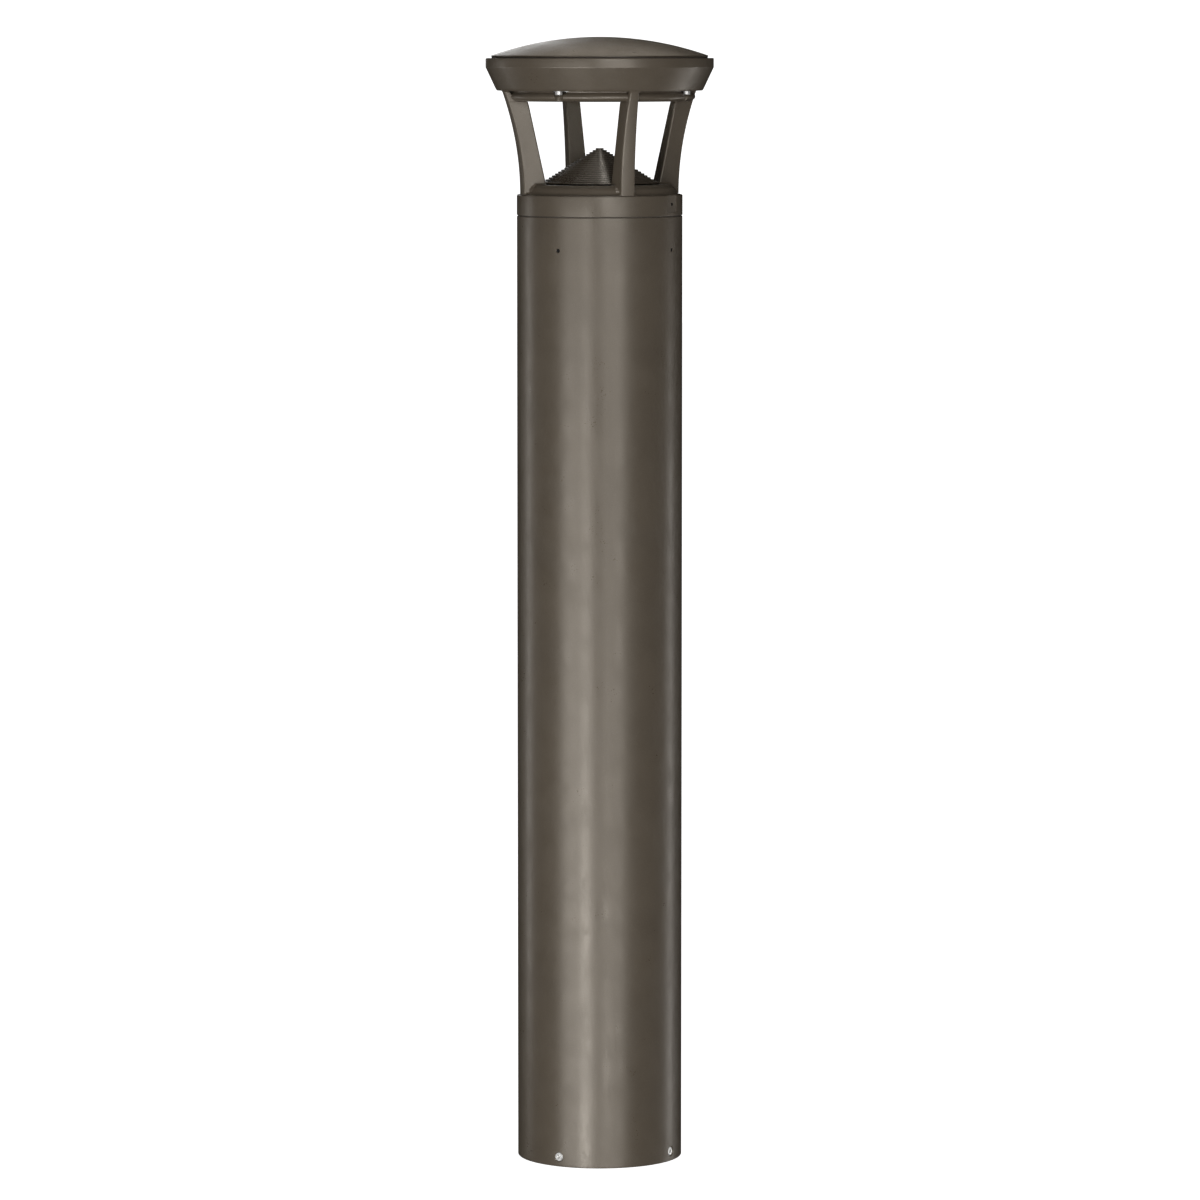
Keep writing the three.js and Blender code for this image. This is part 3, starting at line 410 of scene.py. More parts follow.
def lathe(points, sides=ROUND, ring=True, matrix=None):
    """Revolves an outline round +Z. An open outline starts and ends on the axis."""
    vertices, rings = [], []
    for radius, height in points:
        if radius < 1e-6:
            rings.append([len(vertices)] * sides)
            vertices.append((0.0, 0.0, height))
            continue
        rings.append(list(range(len(vertices), len(vertices) + sides)))
        for side in range(sides):
            angle = 2 * pi * side / sides
            vertices.append((radius * cos(angle), radius * sin(angle), height))
    faces = []
    pairs = list(zip(rings, rings[1:]))
    if ring:
        pairs.append((rings[-1], rings[0]))
    for low, high in pairs:
        for side in range(sides):
            after = (side + 1) % sides
            corners = (low[side], low[after], high[after], high[side])
            face = tuple(dict.fromkeys(corners))
            if len(face) > 2:
                faces.append(face)
    return moved(new_object(vertices, faces), matrix)


def moved(obj, matrix):
    if matrix is not None:
        obj.data.transform(matrix)
    return obj


def spun(points, sides=SMALL, matrix=None):
    """Revolves points that start and end on the axis."""
    return lathe(points, sides, ring=False, matrix=matrix)


def turned(corners, sides=SMALL, matrix=None):
    """Revolves corners, each with its fillet, that start and end on the axis."""
    return spun(outline(corners, ring=False), sides, matrix)


def disc(radius, low, high, sides, fillets=(0.2, 0.2)):
    corners = [(0, low), (radius, low, fillets[0]), (radius, high, fillets[1]), (0, high)]
    return turned(corners, sides)


def washer(inner, outer, low, high, soft, sides=ROUND):
    corners = [(inner, low), (outer, low), (outer, high), (inner, high)]
    return lathe(outline(corners, soft=soft), sides)


def prism(section, low, high, matrix=None):
    """Extrudes an xy outline along z."""
    count = len(section)
    vertices = [(x, y, z) for z in (low, high) for x, y in section]
    faces = [tuple(range(count)), tuple(range(count, 2 * count))]
    faces += [(i, (i + 1) % count, count + (i + 1) % count, count + i) for i in range(count)]
    return moved(new_object(vertices, faces), matrix)


def loft(sections, matrix=None):
    """Joins closed sections with the same number of [x, y, z] points, and caps both ends."""
    count = len(sections[0])
    vertices = [point for section in sections for point in section]
    faces = []
    for level in range(len(sections) - 1):
        low = level * count
        for i in range(count):
            after = (i + 1) % count
            faces.append((low + i, low + after, low + count + after, low + count + i))
    faces.append(tuple(range(count)))
    faces.append(tuple(range(len(vertices) - count, len(vertices))))
    return moved(new_object(vertices, faces), matrix)


def turn(azimuth):
    """Turns what is drawn along +X to an azimuth."""
    return Matrix.Rotation(radians(azimuth - 90), 4, "Z")


def shift(x, y, z):
    return Matrix.Translation((MM * x, MM * y, MM * z))


LAY = Matrix.Rotation(pi / 2, 4, "Y")  # turns what is drawn along +Z to +X
OVER = Matrix.Rotation(pi, 4, "X")  # turns a screw to point down
INWARD = Matrix.Rotation(-pi / 2, 4, "Y")  # turns a screw to point at the axis
SPOKE = turn(LEAD_AZIMUTH)  # carries the tray, the driver and the leads
# For a prism: the plane that its outline is drawn in, and the axis that it is extruded along.
ZY_ALONG_X = Matrix(((0, 0, 1, 0), (0, 1, 0, 0), (1, 0, 0, 0), (0, 0, 0, 1)))
YZ_ALONG_X = Matrix(((0, 0, 1, 0), (1, 0, 0, 0), (0, 1, 0, 0), (0, 0, 0, 1)))
XZ_ALONG_Y = Matrix(((1, 0, 0, 0), (0, 0, 1, 0), (0, 1, 0, 0), (0, 0, 0, 1)))


def rectangle(x, y, radius=0.0):
    """A rectangle with round corners, in xy."""
    corners = [(x[0], y[0]), (x[1], y[0]), (x[1], y[1]), (x[0], y[1])]
    return outline(corners, soft=radius) if radius else corners


def post(radius, low, high, reach=0.0, azimuth=None, sides=SMALL):
    """A round tool along z."""
    points = [(0.0, low), (radius, low), (radius, high), (0.0, high)]
    matrix = shift(reach, 0, 0)
    if azimuth is not None:
        matrix = turn(azimuth) @ matrix
    return spun(points, sides, matrix)


def posts(radius, low, high, circle, azimuths):
    return [post(radius, low, high, circle, azimuth) for azimuth in azimuths]


def bar(points, height, azimuth=None, sides=SMALL):
    """A turned tool along +X: points are (radius, distance from the axis of the bollard)."""
    matrix = shift(0, 0, height) @ LAY
    if azimuth is not None:
        matrix = turn(azimuth) @ matrix
    return spun([(0.0, points[0][1]), *points, (0.0, points[-1][1])], sides, matrix)


def apply_modifiers(obj):
    graph = bpy.context.evaluated_depsgraph_get()
    made = bpy.data.meshes.new_from_object(obj.evaluated_get(graph), depsgraph=graph)
    old = obj.data
    obj.modifiers.clear()
    obj.data = made
    bpy.data.meshes.remove(old)


def discard(obj):
    data = obj.data
    bpy.data.objects.remove(obj)
    bpy.data.meshes.remove(data)


def combine(target, tools, operation):
    for tool in tools:
        modifier = target.modifiers.new("combine", "BOOLEAN")
        modifier.operation = operation
        modifier.solver = "MANIFOLD"
        modifier.object = tool
        apply_modifiers(target)
        discard(tool)
    return target


def merged(tools):
    """Makes one object of tools that don't touch each other."""
    base = tools[0]
    work = bmesh.new()
    for tool in tools:
        work.from_mesh(tool.data)
    work.to_mesh(base.data)
    work.free()
    for tool in tools[1:]:
        discard(tool)
    return base


def cut(target, tools):
    """Cuts away tools that don't touch each other."""
    return combine(target, [merged(tools)], "DIFFERENCE")


def join(target, parts):
    return combine(target, parts, "UNION")


def bevelled(obj, width, segments=2, angle=35):
    """Rounds the edges that are sharper than the angle."""
    modifier = obj.modifiers.new("edges", "BEVEL")
    modifier.width = width * MM
    modifier.segments = segments
    modifier.limit_method = "ANGLE"
    modifier.angle_limit = radians(angle)
    apply_modifiers(obj)


def present(obj, name, body, slot, nodes=(), sharp=32):
    """Names a finished piece, smooths it, and ties it to its body, slot and CAD nodes."""
    obj.name = name
    mesh = obj.data
    mesh.name = name
    work = bmesh.new()
    work.from_mesh(mesh)
    bmesh.ops.remove_doubles(work, verts=work.verts, dist=2e-6)
    bmesh.ops.dissolve_degenerate(work, edges=work.edges, dist=2e-6)
    bmesh.ops.recalc_face_normals(work, faces=work.faces)
    for face in work.faces:
        face.smooth = True
    work.to_mesh(mesh)
    work.free()
    mesh.set_sharp_from_angle(angle=radians(sharp))
    mesh.materials.clear()
    mesh.materials.append(FINISHES[slot])
    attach(obj, body)
    if nodes:
        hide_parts(*nodes)


def look(obj, node, slot, body="head", sharp=32):
    """Presents the one piece that stands in for a CAD node."""
    present(obj, node + "_look", body, slot, [node], sharp)


# ---------- Fasteners ----------
def threaded(points, radius, low, high, pitch=0.9, depth=0.28):
    """Adds the ridges of a thread to an outline that runs up a shank."""
    height = low
    while height + pitch < high:
        points.append((radius - depth, height + 0.15 * pitch))
        points.append((radius, height + 0.5 * pitch))
        height += pitch
    points.append((radius - depth, high))
    return points


def screw(head, head_height, shank, length, socket, countersunk):
    """A socket screw along +Z with its head's seat at z = 0."""
    edge = 0.12 * head
    top = -head_height
    body = [(0.0, top), (head - edge, top), (head, top + edge)]
    if countersunk:
        body += [(head, 0.4 - head_height), (shank, 0.0)]
    else:
        body += [(head, -0.12), (head - 0.12, 0.0), (shank, 0.0)]
    body = threaded(body, shank, min(1.2, 0.2 * length), length - 0.5)
    body += [(shank * 0.72, length), (0.0, length)]
    made = spun(body)
    hexagon = post(socket, top - 1, -0.3 * head_height, sides=HEXAGON)
    mouth = socket * 1.12
    above, below = top - 0.5, top + 0.22 * socket
    rim = [(0.0, above), (mouth + 0.5, above), (mouth, top), (socket * 0.8, below), (0.0, below)]
    return cut(cut(made, [hexagon]), [spun(rim)])


def set_screw(radius, length, socket):
    """A headless screw along +Z, from its socket at z = 0."""
    body = [(0.0, 0.0), (radius - 0.25, 0.0)]
    if length > 1.5:
        body = threaded(body, radius, 0.2, length - 0.5, 0.6, 0.18)
        body += [(radius * 0.6, length), (0.0, length)]
    else:
        body += [(radius, 0.2), (radius, length), (0.0, length)]
    return cut(spun(body), [post(socket, -1, 0.5 * length, sides=HEXAGON)])


# Radius and height of the head, radius and length of the shank, radius of the socket
SCREWS = {
    "foot_screw": (4, 2.8, 2.1, 9, 1.6),
    "ground_screw": (4, 3, 2, 11, 1.5),
    "cage_screw": (4.5, 4, 2.4, 16, 2),
    "cone_screw": (4.6, 4, 2.4, 24, 2),
    "pan_screw": (3.3, 3.6, 2, 7.6, 1.5),
    "retainer_screw": (2.8, 1.2, 1.4, 5, 1),
    "board_screw": (2.8, 1.4, 1.5, 6, 1),
    "heatsink_screw": (3, 2.5, 1.6, 8, 1.2),
    "cover_screw": (3.8, 3, 2, 15, 1.5),
    "tray_screw": (4, 2.5, 2, 9, 1.5),
    "driver_screw": (3, 2, 1.5, 5, 1.1),
}
COUNTERSUNK = ("foot_screw",)


def add_screws(kind, places, slot="bright_steel", made=None, body="head"):
    """One screw for each matrix in places, named after the CAD nodes."""
    made = made or screw(*SCREWS[kind], kind in COUNTERSUNK)
    for index, matrix in enumerate(places):
        node = kind if len(places) == 1 else f"{kind}_{index + 1}"
        copy = moved(linked("copy", made.data.copy()), matrix)
        look(copy, node, slot, body, sharp=28)
    discard(made)


def upright(azimuths, circle, seat):
    return [turn(azimuth) @ shift(circle, 0, seat) for azimuth in azimuths]


def hanging(azimuths, circle, seat):
    return [place @ OVER for place in upright(azimuths, circle, seat)]


def facing_in(azimuths, circle, height):
    return [place @ INWARD for place in upright(azimuths, circle, height)]


# ---------- Shaft ----------
def build_tube():
    heights = [3, 6, 20, 40, 200, 400, 600, 780, 836, 854, 868]
    corners = [
        (TUBE_BORE, 0, 0.2), (TUBE_RADIUS - 0.6, 0, 0.15), (TUBE_RADIUS, 0.6, 0.3),
        *[(TUBE_RADIUS, height, 0) for height in heights],
        (TUBE_RADIUS, TUBE_TOP, 0.25), (TUBE_BORE, TUBE_TOP, 0.4),
        *[(TUBE_BORE, height, 0) for height in reversed(heights)],
    ]
    tube = lathe(outline(corners), FINE)
    sink = [(2.7, 70), (2.8, 72.5), (4.9, 76.2), (5.2, 76.4), (5.2, 78)]
    hole = [(1.85, 70), (1.85, 75.9), (2.15, 76.2), (2.3, 78)]
    tools = []
    for azimuth in SHAFT_SCREWS:
        tools.append(bar(sink, FOOT_SCREW_HEIGHT, azimuth, 48))
        tools.append(bar(hole, SET_SCREW_HEIGHT, azimuth, 32))
    cut(tube, tools)
    look(tube, "shaft_tube", "bronze_powder_coat", "shaft")


def build_base():
    wall = [(72.6, 0, 0.6), (72.6, 24, 0.6), (64, 24, 0.6), (64, 8, 1.5)]
    corners = [(38, 0, 0.6), *wall, (38, 8, 0.8)]
    base = lathe(outline(corners), MEDIUM)
    place = turn(GROUND_AZIMUTH) @ shift(GROUND_CIRCLE, 0, 0)
    boss = turned([(0, 7), (8, 7), (6.4, 8.6, 1.2), (6, 14, 0.5), (0, 14)], matrix=place)
    join(base, [boss])
    slot = outline([(42, -6.5, 6.45), (62, -6.5, 6.45), (62, 6.5, 6.45), (42, 6.5, 6.45)])
    tools = [prism(slot, -1, 9, turn(azimuth)) for azimuth in SLOTS]
    tools += [bar([(2.4, 62), (2.4, 74)], FOOT_SCREW_HEIGHT, azimuth) for azimuth in SHAFT_SCREWS]
    tools.append(post(2.3, 5, 15, GROUND_CIRCLE, GROUND_AZIMUTH))
    cut(base, tools)
    bevelled(base, 0.3, 2, 60)
    look(base, "anchor_base", "cast_aluminium", "shaft")


def build_ground_point():
    spoke = turn(GROUND_AZIMUTH)
    lug = prism(outline([(45, -6, 1), (58, -6, 3), (58, 6, 3), (45, 6, 1)]), 14.3, 18, spoke)
    corners = [(0, 14.3), (4.5, 14.3, 0.3), (4.5, 26, 0.6), (0, 26)]
    join(lug, [turned(corners, matrix=spoke @ shift(43, 0, 0))])
    screw_hole = post(2.4, 13, 19, GROUND_CIRCLE, GROUND_AZIMUTH)
    cut(lug, [screw_hole, post(2.4, 17, 27, 43, GROUND_AZIMUTH)])
    bevelled(lug, 0.3, 2, 50)
    look(lug, "ground_lug", "cast_aluminium", "shaft")
    places = hanging([GROUND_AZIMUTH], GROUND_CIRCLE, 18 + GAP)
    add_screws("ground_screw", places, body="shaft")


def build_shaft():
    build_tube()
    build_base()
    build_ground_point()
    places = facing_in(SHAFT_SCREWS, TUBE_BORE - GAP, FOOT_SCREW_HEIGHT)
    add_screws("foot_screw", places, body="shaft")
    places = facing_in(SHAFT_SCREWS, TUBE_RADIUS - GAP, SET_SCREW_HEIGHT)
    made = set_screw(radius=1.55, length=2.7, socket=0.8)
    add_screws("head_set_screw", places, "black_steel", made, "shaft")


# ---------- Collar ----------
def build_collar():
    corners = [
        (66, 828, 0.4), (71.6, 828, 0.3), (72.6, 829, 0.5), (72.6, 840, 0), (72.6, 870, 0),
        (72.6, COLLAR_FOOT, 0.15), (COLLAR_RADIUS, COLLAR_FOOT, 0.25),
        (COLLAR_RADIUS, 879, 0), (COLLAR_RADIUS, COLLAR_TOP, 1.0), (74.7, COLLAR_TOP, 0.4),
        (74.7, DECK_TOP, 0.3), (28, DECK_TOP, 0.5), (28, DECK_FOOT, 0.5),
        (66, DECK_FOOT, 1.2),
    ]
    collar = lathe(outline(corners), FINE)
    flat = COLLAR_RADIUS - 0.75
    milled = rectangle((flat, 80), (-8.4, 8.4))
    cut(collar, [prism(milled, COLLAR_TOP - 15.6, COLLAR_TOP + 2, turn(PAD_AZIMUTH))])
    hole = [(1.75, 72), (1.75, 75.6), (2.0, 76.0), (2.0, 80)]
    tools = [bar(hole, PAD_SCREW_HEIGHT, PAD_SCREW_AZIMUTH, 32)]
    tools += posts(2.7, 872, 884, CAGE_CIRCLE, POCKETS)
    tools += [moved(post(2.3, 872, 884), SPOKE @ shift(x, y, 0)) for x, y in TRAY_SCREWS]
    cut(collar, tools)
    look(collar, "collar", "bronze_powder_coat")
    look(washer(73.4, 75.4, 875.05, 875.85, 0.2), "collar_gasket", "silicone_rubber")
    places = facing_in([PAD_SCREW_AZIMUTH], COLLAR_RADIUS - 0.6, PAD_SCREW_HEIGHT)
    made = set_screw(radius=1.45, length=0.9, socket=0.8)
    add_screws("pad_screw", places, "black_steel", made)
    add_screws("cage_screw", upright(POCKETS, CAGE_CIRCLE, DECK_FOOT - GAP))


# ---------- Cage casting ----------
RING_EDGE = 895.0  # where the base ring's curved face starts
RING_FACE = (66.5, 903)  # and ends
RING_SHOULDER = 65
RING_SWEEP = [
    (RING_RADIUS, RING_EDGE),
    *bezier((RING_RADIUS, RING_EDGE), (68.6, 895.2), (72.2, 899.8), RING_FACE, 18),
    *quadratic(RING_FACE, (66.1, RING_TOP), (RING_SHOULDER, RING_TOP), 6),
]
SHELL_SWEEP = [
    (80.1, STRUT_LEDGE),
    *bezier((80.1, STRUT_LEDGE), (86.6, 980.4), (85.2, 989.1), (91.8, 989.8), 18),
]
BLEND = 2.2  # radius where a strut runs into the ring and the skirt
ARC = [radians(18 * step) for step in range(6)]  # a quarter of a turn, for round edges


def ring_height(x):
    """The height of the base ring's surface at a radius."""
    if x >= RING_RADIUS:
        return RING_EDGE - 3 * (x - RING_RADIUS)
    if x <= RING_SHOULDER:
        return RING_TOP
    for (x0, z0), (x1, z1) in zip(RING_SWEEP, RING_SWEEP[1:]):
        if x1 <= x <= x0:
            return z0 + (z1 - z0) * (x0 - x) / max(x0 - x1, 1e-9)
    return RING_TOP


def flare(distance):
    """How far a fillet stands out at a distance from the face that it runs into."""
    if distance >= BLEND:
        return 0.0
    reach = BLEND - max(distance, 0.0)
    return BLEND - sqrt(BLEND * BLEND - reach * reach)


def strut_outer(z):
    """The radius of a strut's outer face, which curves outwards."""
    return 75.65 + 0.00204 * (z - STRUT_FOOT) ** 2


def strut_inner(z):
    """The radius of a strut's inner face, which is straight."""
    return 53.2 + 0.2187 * (z - STRUT_FOOT)


def strut_half_width(x, z):
    """A strut tapers outwards, and widens where it meets the ring and the skirt."""
    half = 4.7 + 0.133 * (89.4 - x)
    half += flare(z - ring_height(x))
    if x > 86:
        half += flare(989.9 - z)
    return half


def strut_section(inner, outer, z, trim):
    """Half of a horizontal section with round edges, from the inner face to the outer one."""
    edge = min(1.3, 0.42 * (outer - inner))

    def side(x, inset=0.0):
        return (x, strut_half_width(x, z) - trim - inset)

    points = [(inner, 0.5 * (strut_half_width(inner, z) - edge))]
    for angle in reversed(ARC):
        points.append(side(inner + edge * (1 - sin(angle)), edge * (1 - cos(angle))))
    along = 12
    for step in range(1, along):
        points.append(side(inner + edge + (outer - inner - 2 * edge) * step / along))
    for angle in ARC:
        points.append(side(outer - edge * (1 - sin(angle)), edge * (1 - cos(angle))))
    return points


def strut_levels():
    """The heights of the sections, with the inner radius at each."""
    levels = [(z, strut_inner(z)) for z in [STRUT_FOOT + 0.5 * k for k in range(28)]]
    levels += [(z, strut_inner(z)) for z in range(910, 979, 3)]
    corner = strut_inner(STRUT_LEDGE)
    rounding = 1.0
    for angle in ARC:
        height = STRUT_LEDGE - rounding * (1 - sin(angle)) - 0.02
        levels.append((height, corner + rounding * (1 - cos(angle))))
    levels += [(max(z, STRUT_LEDGE + 0.005 * k), x) for k, (x, z) in enumerate(SHELL_SWEEP)]
    levels += [(z, 91.8) for z in (990.4, 991.4, 992.4)]
    return levels


def strut(azimuth):
    lip = 0.5  # rounding of the ledge's own edge
    sections = []
    for z, inner in strut_levels():
        trim = 0.0
        near = STRUT_LEDGE - z
        if 0 <= near < lip and inner < 75:
            trim = lip - sqrt(max(lip * lip - (lip - near) ** 2, 0.0))
        half = strut_section(inner, strut_outer(z), z, trim)
        sections.append([(x, y, z) for x, y in half] + [(x, -y, z) for x, y in reversed(half)])
    return loft(sections, turn(azimuth))


def inner_strip(depths, heights, width):
    """A strip along a strut's inner face, between two depths into the strut, drawn along +X."""
    half = width / 2
    low = [(strut_inner(heights[0]) + d, heights[0]) for d in depths]
    high = [(strut_inner(heights[1]) + d, heights[1]) for d in depths]
    corners = [low[0], low[1], high[1], high[0]]
    vertices = [(x, y, z) for y in (-half, half) for x, z in corners]
    faces = [(0, 1, 2, 3), (4, 5, 6, 7), (0, 1, 5, 4), (1, 2, 6, 5), (2, 3, 7, 6), (3, 0, 4, 7)]
    return new_object(vertices, faces)


def build_cage():
    corners = [
        (91.7, 989.8, 0.3), (94.5, 989.95, 0.8), (95.6, SKIRT_FOOT, 0.6),
        (SKIRT_RADIUS, 1011.2, 1.2), (SKIRT_RADIUS, 1014.5, 0), (SKIRT_RADIUS, 1019.0, 0.3),
        (SKIRT_RADIUS - 0.5, BAND_TOP, 0.3), (91, BAND_TOP, 0.3), (91, 1015.6, 0.3),
        (99.8, 1015.6, 0.5), (99.8, 1012.2, 1.5), (93.6, SHELF_TOP, 1.5),
        (76, SHELF_TOP, 0.4), (76, SHELF_FOOT, 0.4), (91.7, SHELF_FOOT, 0.4),
    ]
    skirt = lathe(outline(corners), FINE)
    recess = [(60, RING_FLOOR), (67, RING_FLOOR, 1.5), (67, RING_SEAT, 0.4)]
    recess += [(RING_RADIUS, RING_SEAT, 0.4), (RING_RADIUS, 894.6)]
    recess = outline(recess, ring=False)
    ring = spun([(0.0, RING_FLOOR), *recess, *RING_SWEEP, (0.0, RING_TOP)], FINE)
    bosses = posts(5.5, RING_SEAT, RING_FLOOR + 1, CAGE_CIRCLE, POCKETS)
    join(ring, [merged(bosses)])
    struts = merged([strut(azimuth) for azimuth in STRUTS])
    join(skirt, [struts, ring])
    stepped = [(0.0, 990), (4.3, 990), (4.3, 996.4), (2.3, 996.4), (2.3, 1001), (0.0, 1001)]
    places = upright(STRUTS, COVER_CIRCLE, 0)
    tools = [spun(stepped, matrix=place) for place in places]
    for azimuth in POCKETS:
        tools.append(post(2.3, 992, 998.3, PAN_CIRCLE, azimuth))
        tools.append(post(1.9, 994, 1001, SINK_CIRCLE, azimuth))
        tools.append(post(2.7, 881, 898, CAGE_CIRCLE, azimuth))
    tools.append(post(3.4, 895, 905))
    cut(skirt, tools)
    groove = moved(inner_strip((-3, 6), (888, 981.1), 5.4), SPOKE)
    rebate = moved(inner_strip((-1, 1.6), (908, 976), 9.4), SPOKE)
    combine(skirt, [groove, rebate], "DIFFERENCE")
    look(skirt, "cage_casting", "bronze_powder_coat", sharp=30)
    cover = moved(inner_strip((0, 1.3), (908.5, 975.5), 8.8), SPOKE)
    bevelled(cover, 0.3, 2)
    look(cover, "wireway_cover", "bronze_powder_coat")


def build_cone():
    steps, foot, top = 17, 906.6, 937.1
    widest, narrowest = 49.9, 3.7
    run, rise = (widest - narrowest) / (steps - 1), (top - foot) / steps
    stairs = []
    for step in range(steps):
        radius, height = widest - step * run, foot + step * rise
        stairs += [(radius, height, 0.25), (radius, height + rise, 0.22)]
    corners = [
        (0, 925.1), (2.7, 925.1, 0.2), (2.7, 904.3, 0.3), (8, 904.3, 0.5), (8, 930.6, 0.5),
        (46.4, 905, 0.3), (54.8, 905, 0.4), (54.8, foot, 0.45), *stairs, (0, top),
    ]
    look(turned(corners, ROUND), "stepped_cone", "dark_baffle", sharp=40)
    add_screws("cone_screw", [shift(0, 0, RING_FLOOR - GAP)])


# ---------- Lens pan ----------
def build_pan():
    lip = (79.5, PAN_FOOT)
    sweep = bezier(lip, (88.5, 980.4), (90.0, 984.8), (85.2, 988.4), 18)
    sweep += [(85.0, 988.8), (85.1, 989.4), (85.6, 989.8), (86.6, 990.0)]
    under = [(72.8, 983.6), (64, 983.6, 0.3), (64, PAN_FOOT, 0.5), (70, PAN_FOOT, 0)]
    flange = [
        (91.3, PAN_FLANGE_FOOT), (91.3, 992.7, 0.4), (84, 992.7, 0.4), (84, 989, 0.3),
        (72.8, 989, 0.3), (72.8, 984.2),
    ]
    points = [*outline(under, ring=False), lip, *sweep, *outline(flange, ring=False)]
    pan = lathe(points, FINE)
    pocket = [(0, 979), (3.6, 979), (3.7, 982), (4.7, 986), (6.6, 988.6), (9.6, 990.2), (0, 990.2)]
    places = upright(POCKETS, PAN_CIRCLE, 0)
    cut(pan, [spun(pocket, 48, place) for place in places])
    tools = posts(2.3, 985, 994, PAN_CIRCLE, POCKETS)
    tools.append(post(2.9, 979, 994, LEAD_REACH, LEAD_AZIMUTH))
    tools += posts(1.7, 983.9, 992.7, RETAINER_CIRCLE, RETAINER_AZIMUTHS)
    cut(pan, tools)
    look(pan, "lens_pan", "bronze_powder_coat")
    add_screws("pan_screw", upright(POCKETS, PAN_CIRCLE, PAN_FLANGE_FOOT - 0.2))

    look(disc(72.4, 984.9, 988.7, ROUND, (0.6, 0.5)), "lens", "frosted_lens")
    look(washer(65, 71.5, 983.8, 984.7, 0.3, MEDIUM), "lens_gasket", "silicone_rubber")
    retainer = washer(62, 83.5, 989.3, 991, 0.3)
    tools = posts(1.7, 988, 992, RETAINER_CIRCLE, RETAINER_AZIMUTHS)
    cut(retainer, [*tools, post(2.9, 988, 992, LEAD_REACH, LEAD_AZIMUTH)])
    look(retainer, "lens_retainer", "zinc_sheet")
    add_screws("retainer_screw", hanging(RETAINER_AZIMUTHS, RETAINER_CIRCLE, 991.1))


# ---------- Light engine ----------
def build_light_engine():
    board = disc(50, BOARD_FOOT, 996, ROUND)
    square = rectangle((-2.4, 2.4), (-2.4, 2.4), 0.4)
    bulge = [(1.9 * sin(t), 993.6 - 0.8 * cos(t)) for t in (0.4, 0.8, 1.2, 1.5)]
    packages = []
    for place in upright([30 * index for index in range(12)], LED_CIRCLE, 0):
        package = prism(square, 993.4, 995.0, place)
        dome = spun([(0, 992.8), *bulge, (0, 993.6)], 24, place)
        packages.append(join(package, [dome]))
    join(board, [merged(packages)])
    cut(board, posts(1.8, 993, 999, BOARD_CIRCLE, BOARD_AZIMUTHS))
    look(board, "led_board", "board_white")

    pad = disc(50, 996.15, 996.85, MEDIUM)
    cut(pad, posts(1.8, 995, 998, BOARD_CIRCLE, BOARD_AZIMUTHS))
    look(pad, "thermal_pad", "thermal_grey")

    step = [(52, 997, 0.4), (52, 999.6, 0.6), (82, 999.6, 0.4), (82, 1003.6, 0.6)]
    sink = turned([(0, 997), *step, (0, 1003.6)], ROUND)
    half = [(1.25, 1002.6), (1.0, 1004.2), (0.8, 1012.4), (0.4, 1013)]
    section = half + [(-y, z) for y, z in reversed(half)]
    fins = []
    for index in range(12):
        place = turn(POCKETS[0] + 30 * (index + 0.5)) @ YZ_ALONG_X
        fins.append(prism(section, 22, 70, place))
    join(sink, [merged(fins)])
    tools = posts(6, 998.6, 1004.6, COVER_CIRCLE, STRUTS)
    tools += posts(1.9, 998.6, 1004.6, SINK_CIRCLE, POCKETS)
    tools += posts(1.8, 993, 1002.6, BOARD_CIRCLE, BOARD_AZIMUTHS)
    cut(sink, tools)
    look(sink, "heat_sink", "cast_aluminium")
    add_screws("board_screw", upright(BOARD_AZIMUTHS, BOARD_CIRCLE, 994.3))
    add_screws("heatsink_screw", hanging(POCKETS, SINK_CIRCLE, 1003.9))


# ---------- Lid ----------
def cap(rim, sphere, crown, steps):
    """The outline of a sphere's cap, from its crown out to its rim."""
    radii = [rim * step / steps for step in range(steps + 1)]
    return [(r, crown - sphere + sqrt(sphere * sphere - r * r)) for r in radii]


def build_lid():
    inner = cap(90, 297, 1035, 12)
    outer = cap(98.6, 301, 1039, 28)
    rim = [(90, DOME_RIM_FOOT, 0.3), (99.9, DOME_RIM_FOOT, 0.25), (99.9, 1021.9, 0.5)]
    rim = outline([inner[-1], *rim, outer[-1]], ring=False)
    dome = spun([*inner[:-1], *rim, *reversed(outer[:-1])], FINE)
    boss = [(0, 999.6), (4.7, 999.6), (5, 999.9), (5, 1015), (5, 1021), (5.6, 1023.6)]
    boss += [(6.8, 1024.6), (6.8, 1025), (0, 1025)]
    for place in upright(STRUTS, COVER_CIRCLE, 0):
        join(dome, [spun(boss, matrix=place)])
    cut(dome, posts(2.3, 998.3, 1015.8, COVER_CIRCLE, STRUTS))
    look(dome, "dome_cover", "bronze_powder_coat")
    look(washer(92.5, 99.3, 1019.65, 1020.85, 0.2), "cover_gasket", "silicone_rubber")
    add_screws("cover_screw", upright(STRUTS, COVER_CIRCLE, 996.2))


# ---------- Driver tray and what it carries ----------
def bent_strip(path, thickness):
    """The outline of a folded sheet along a path of (x, y, inner fillet) points."""
    places = [Vector(p[:2]) for p in path]
    left, right = [], []
    for i, place in enumerate(places):
        ways = []
        if i:
            ways.append((place - places[i - 1]).normalized())
        if i < len(places) - 1:
            ways.append((places[i + 1] - place).normalized())
        normals = [Vector((-w.y, w.x)) for w in ways]
        middle = sum(normals, Vector((0, 0))).normalized()
        reach = thickness / 2 / middle.dot(normals[0])
        fillets = (0.3, 0.3)
        if len(path[i]) > 2:
            fillets = (path[i][2], path[i][2] + thickness)
            if ways[0].cross(ways[1]) <= 0:
                fillets = fillets[::-1]
        for side, way, fillet in zip((left, right), (middle, -middle), fillets):
            side.append((*(place + way * reach), fillet))
    return outline(left + right[::-1])


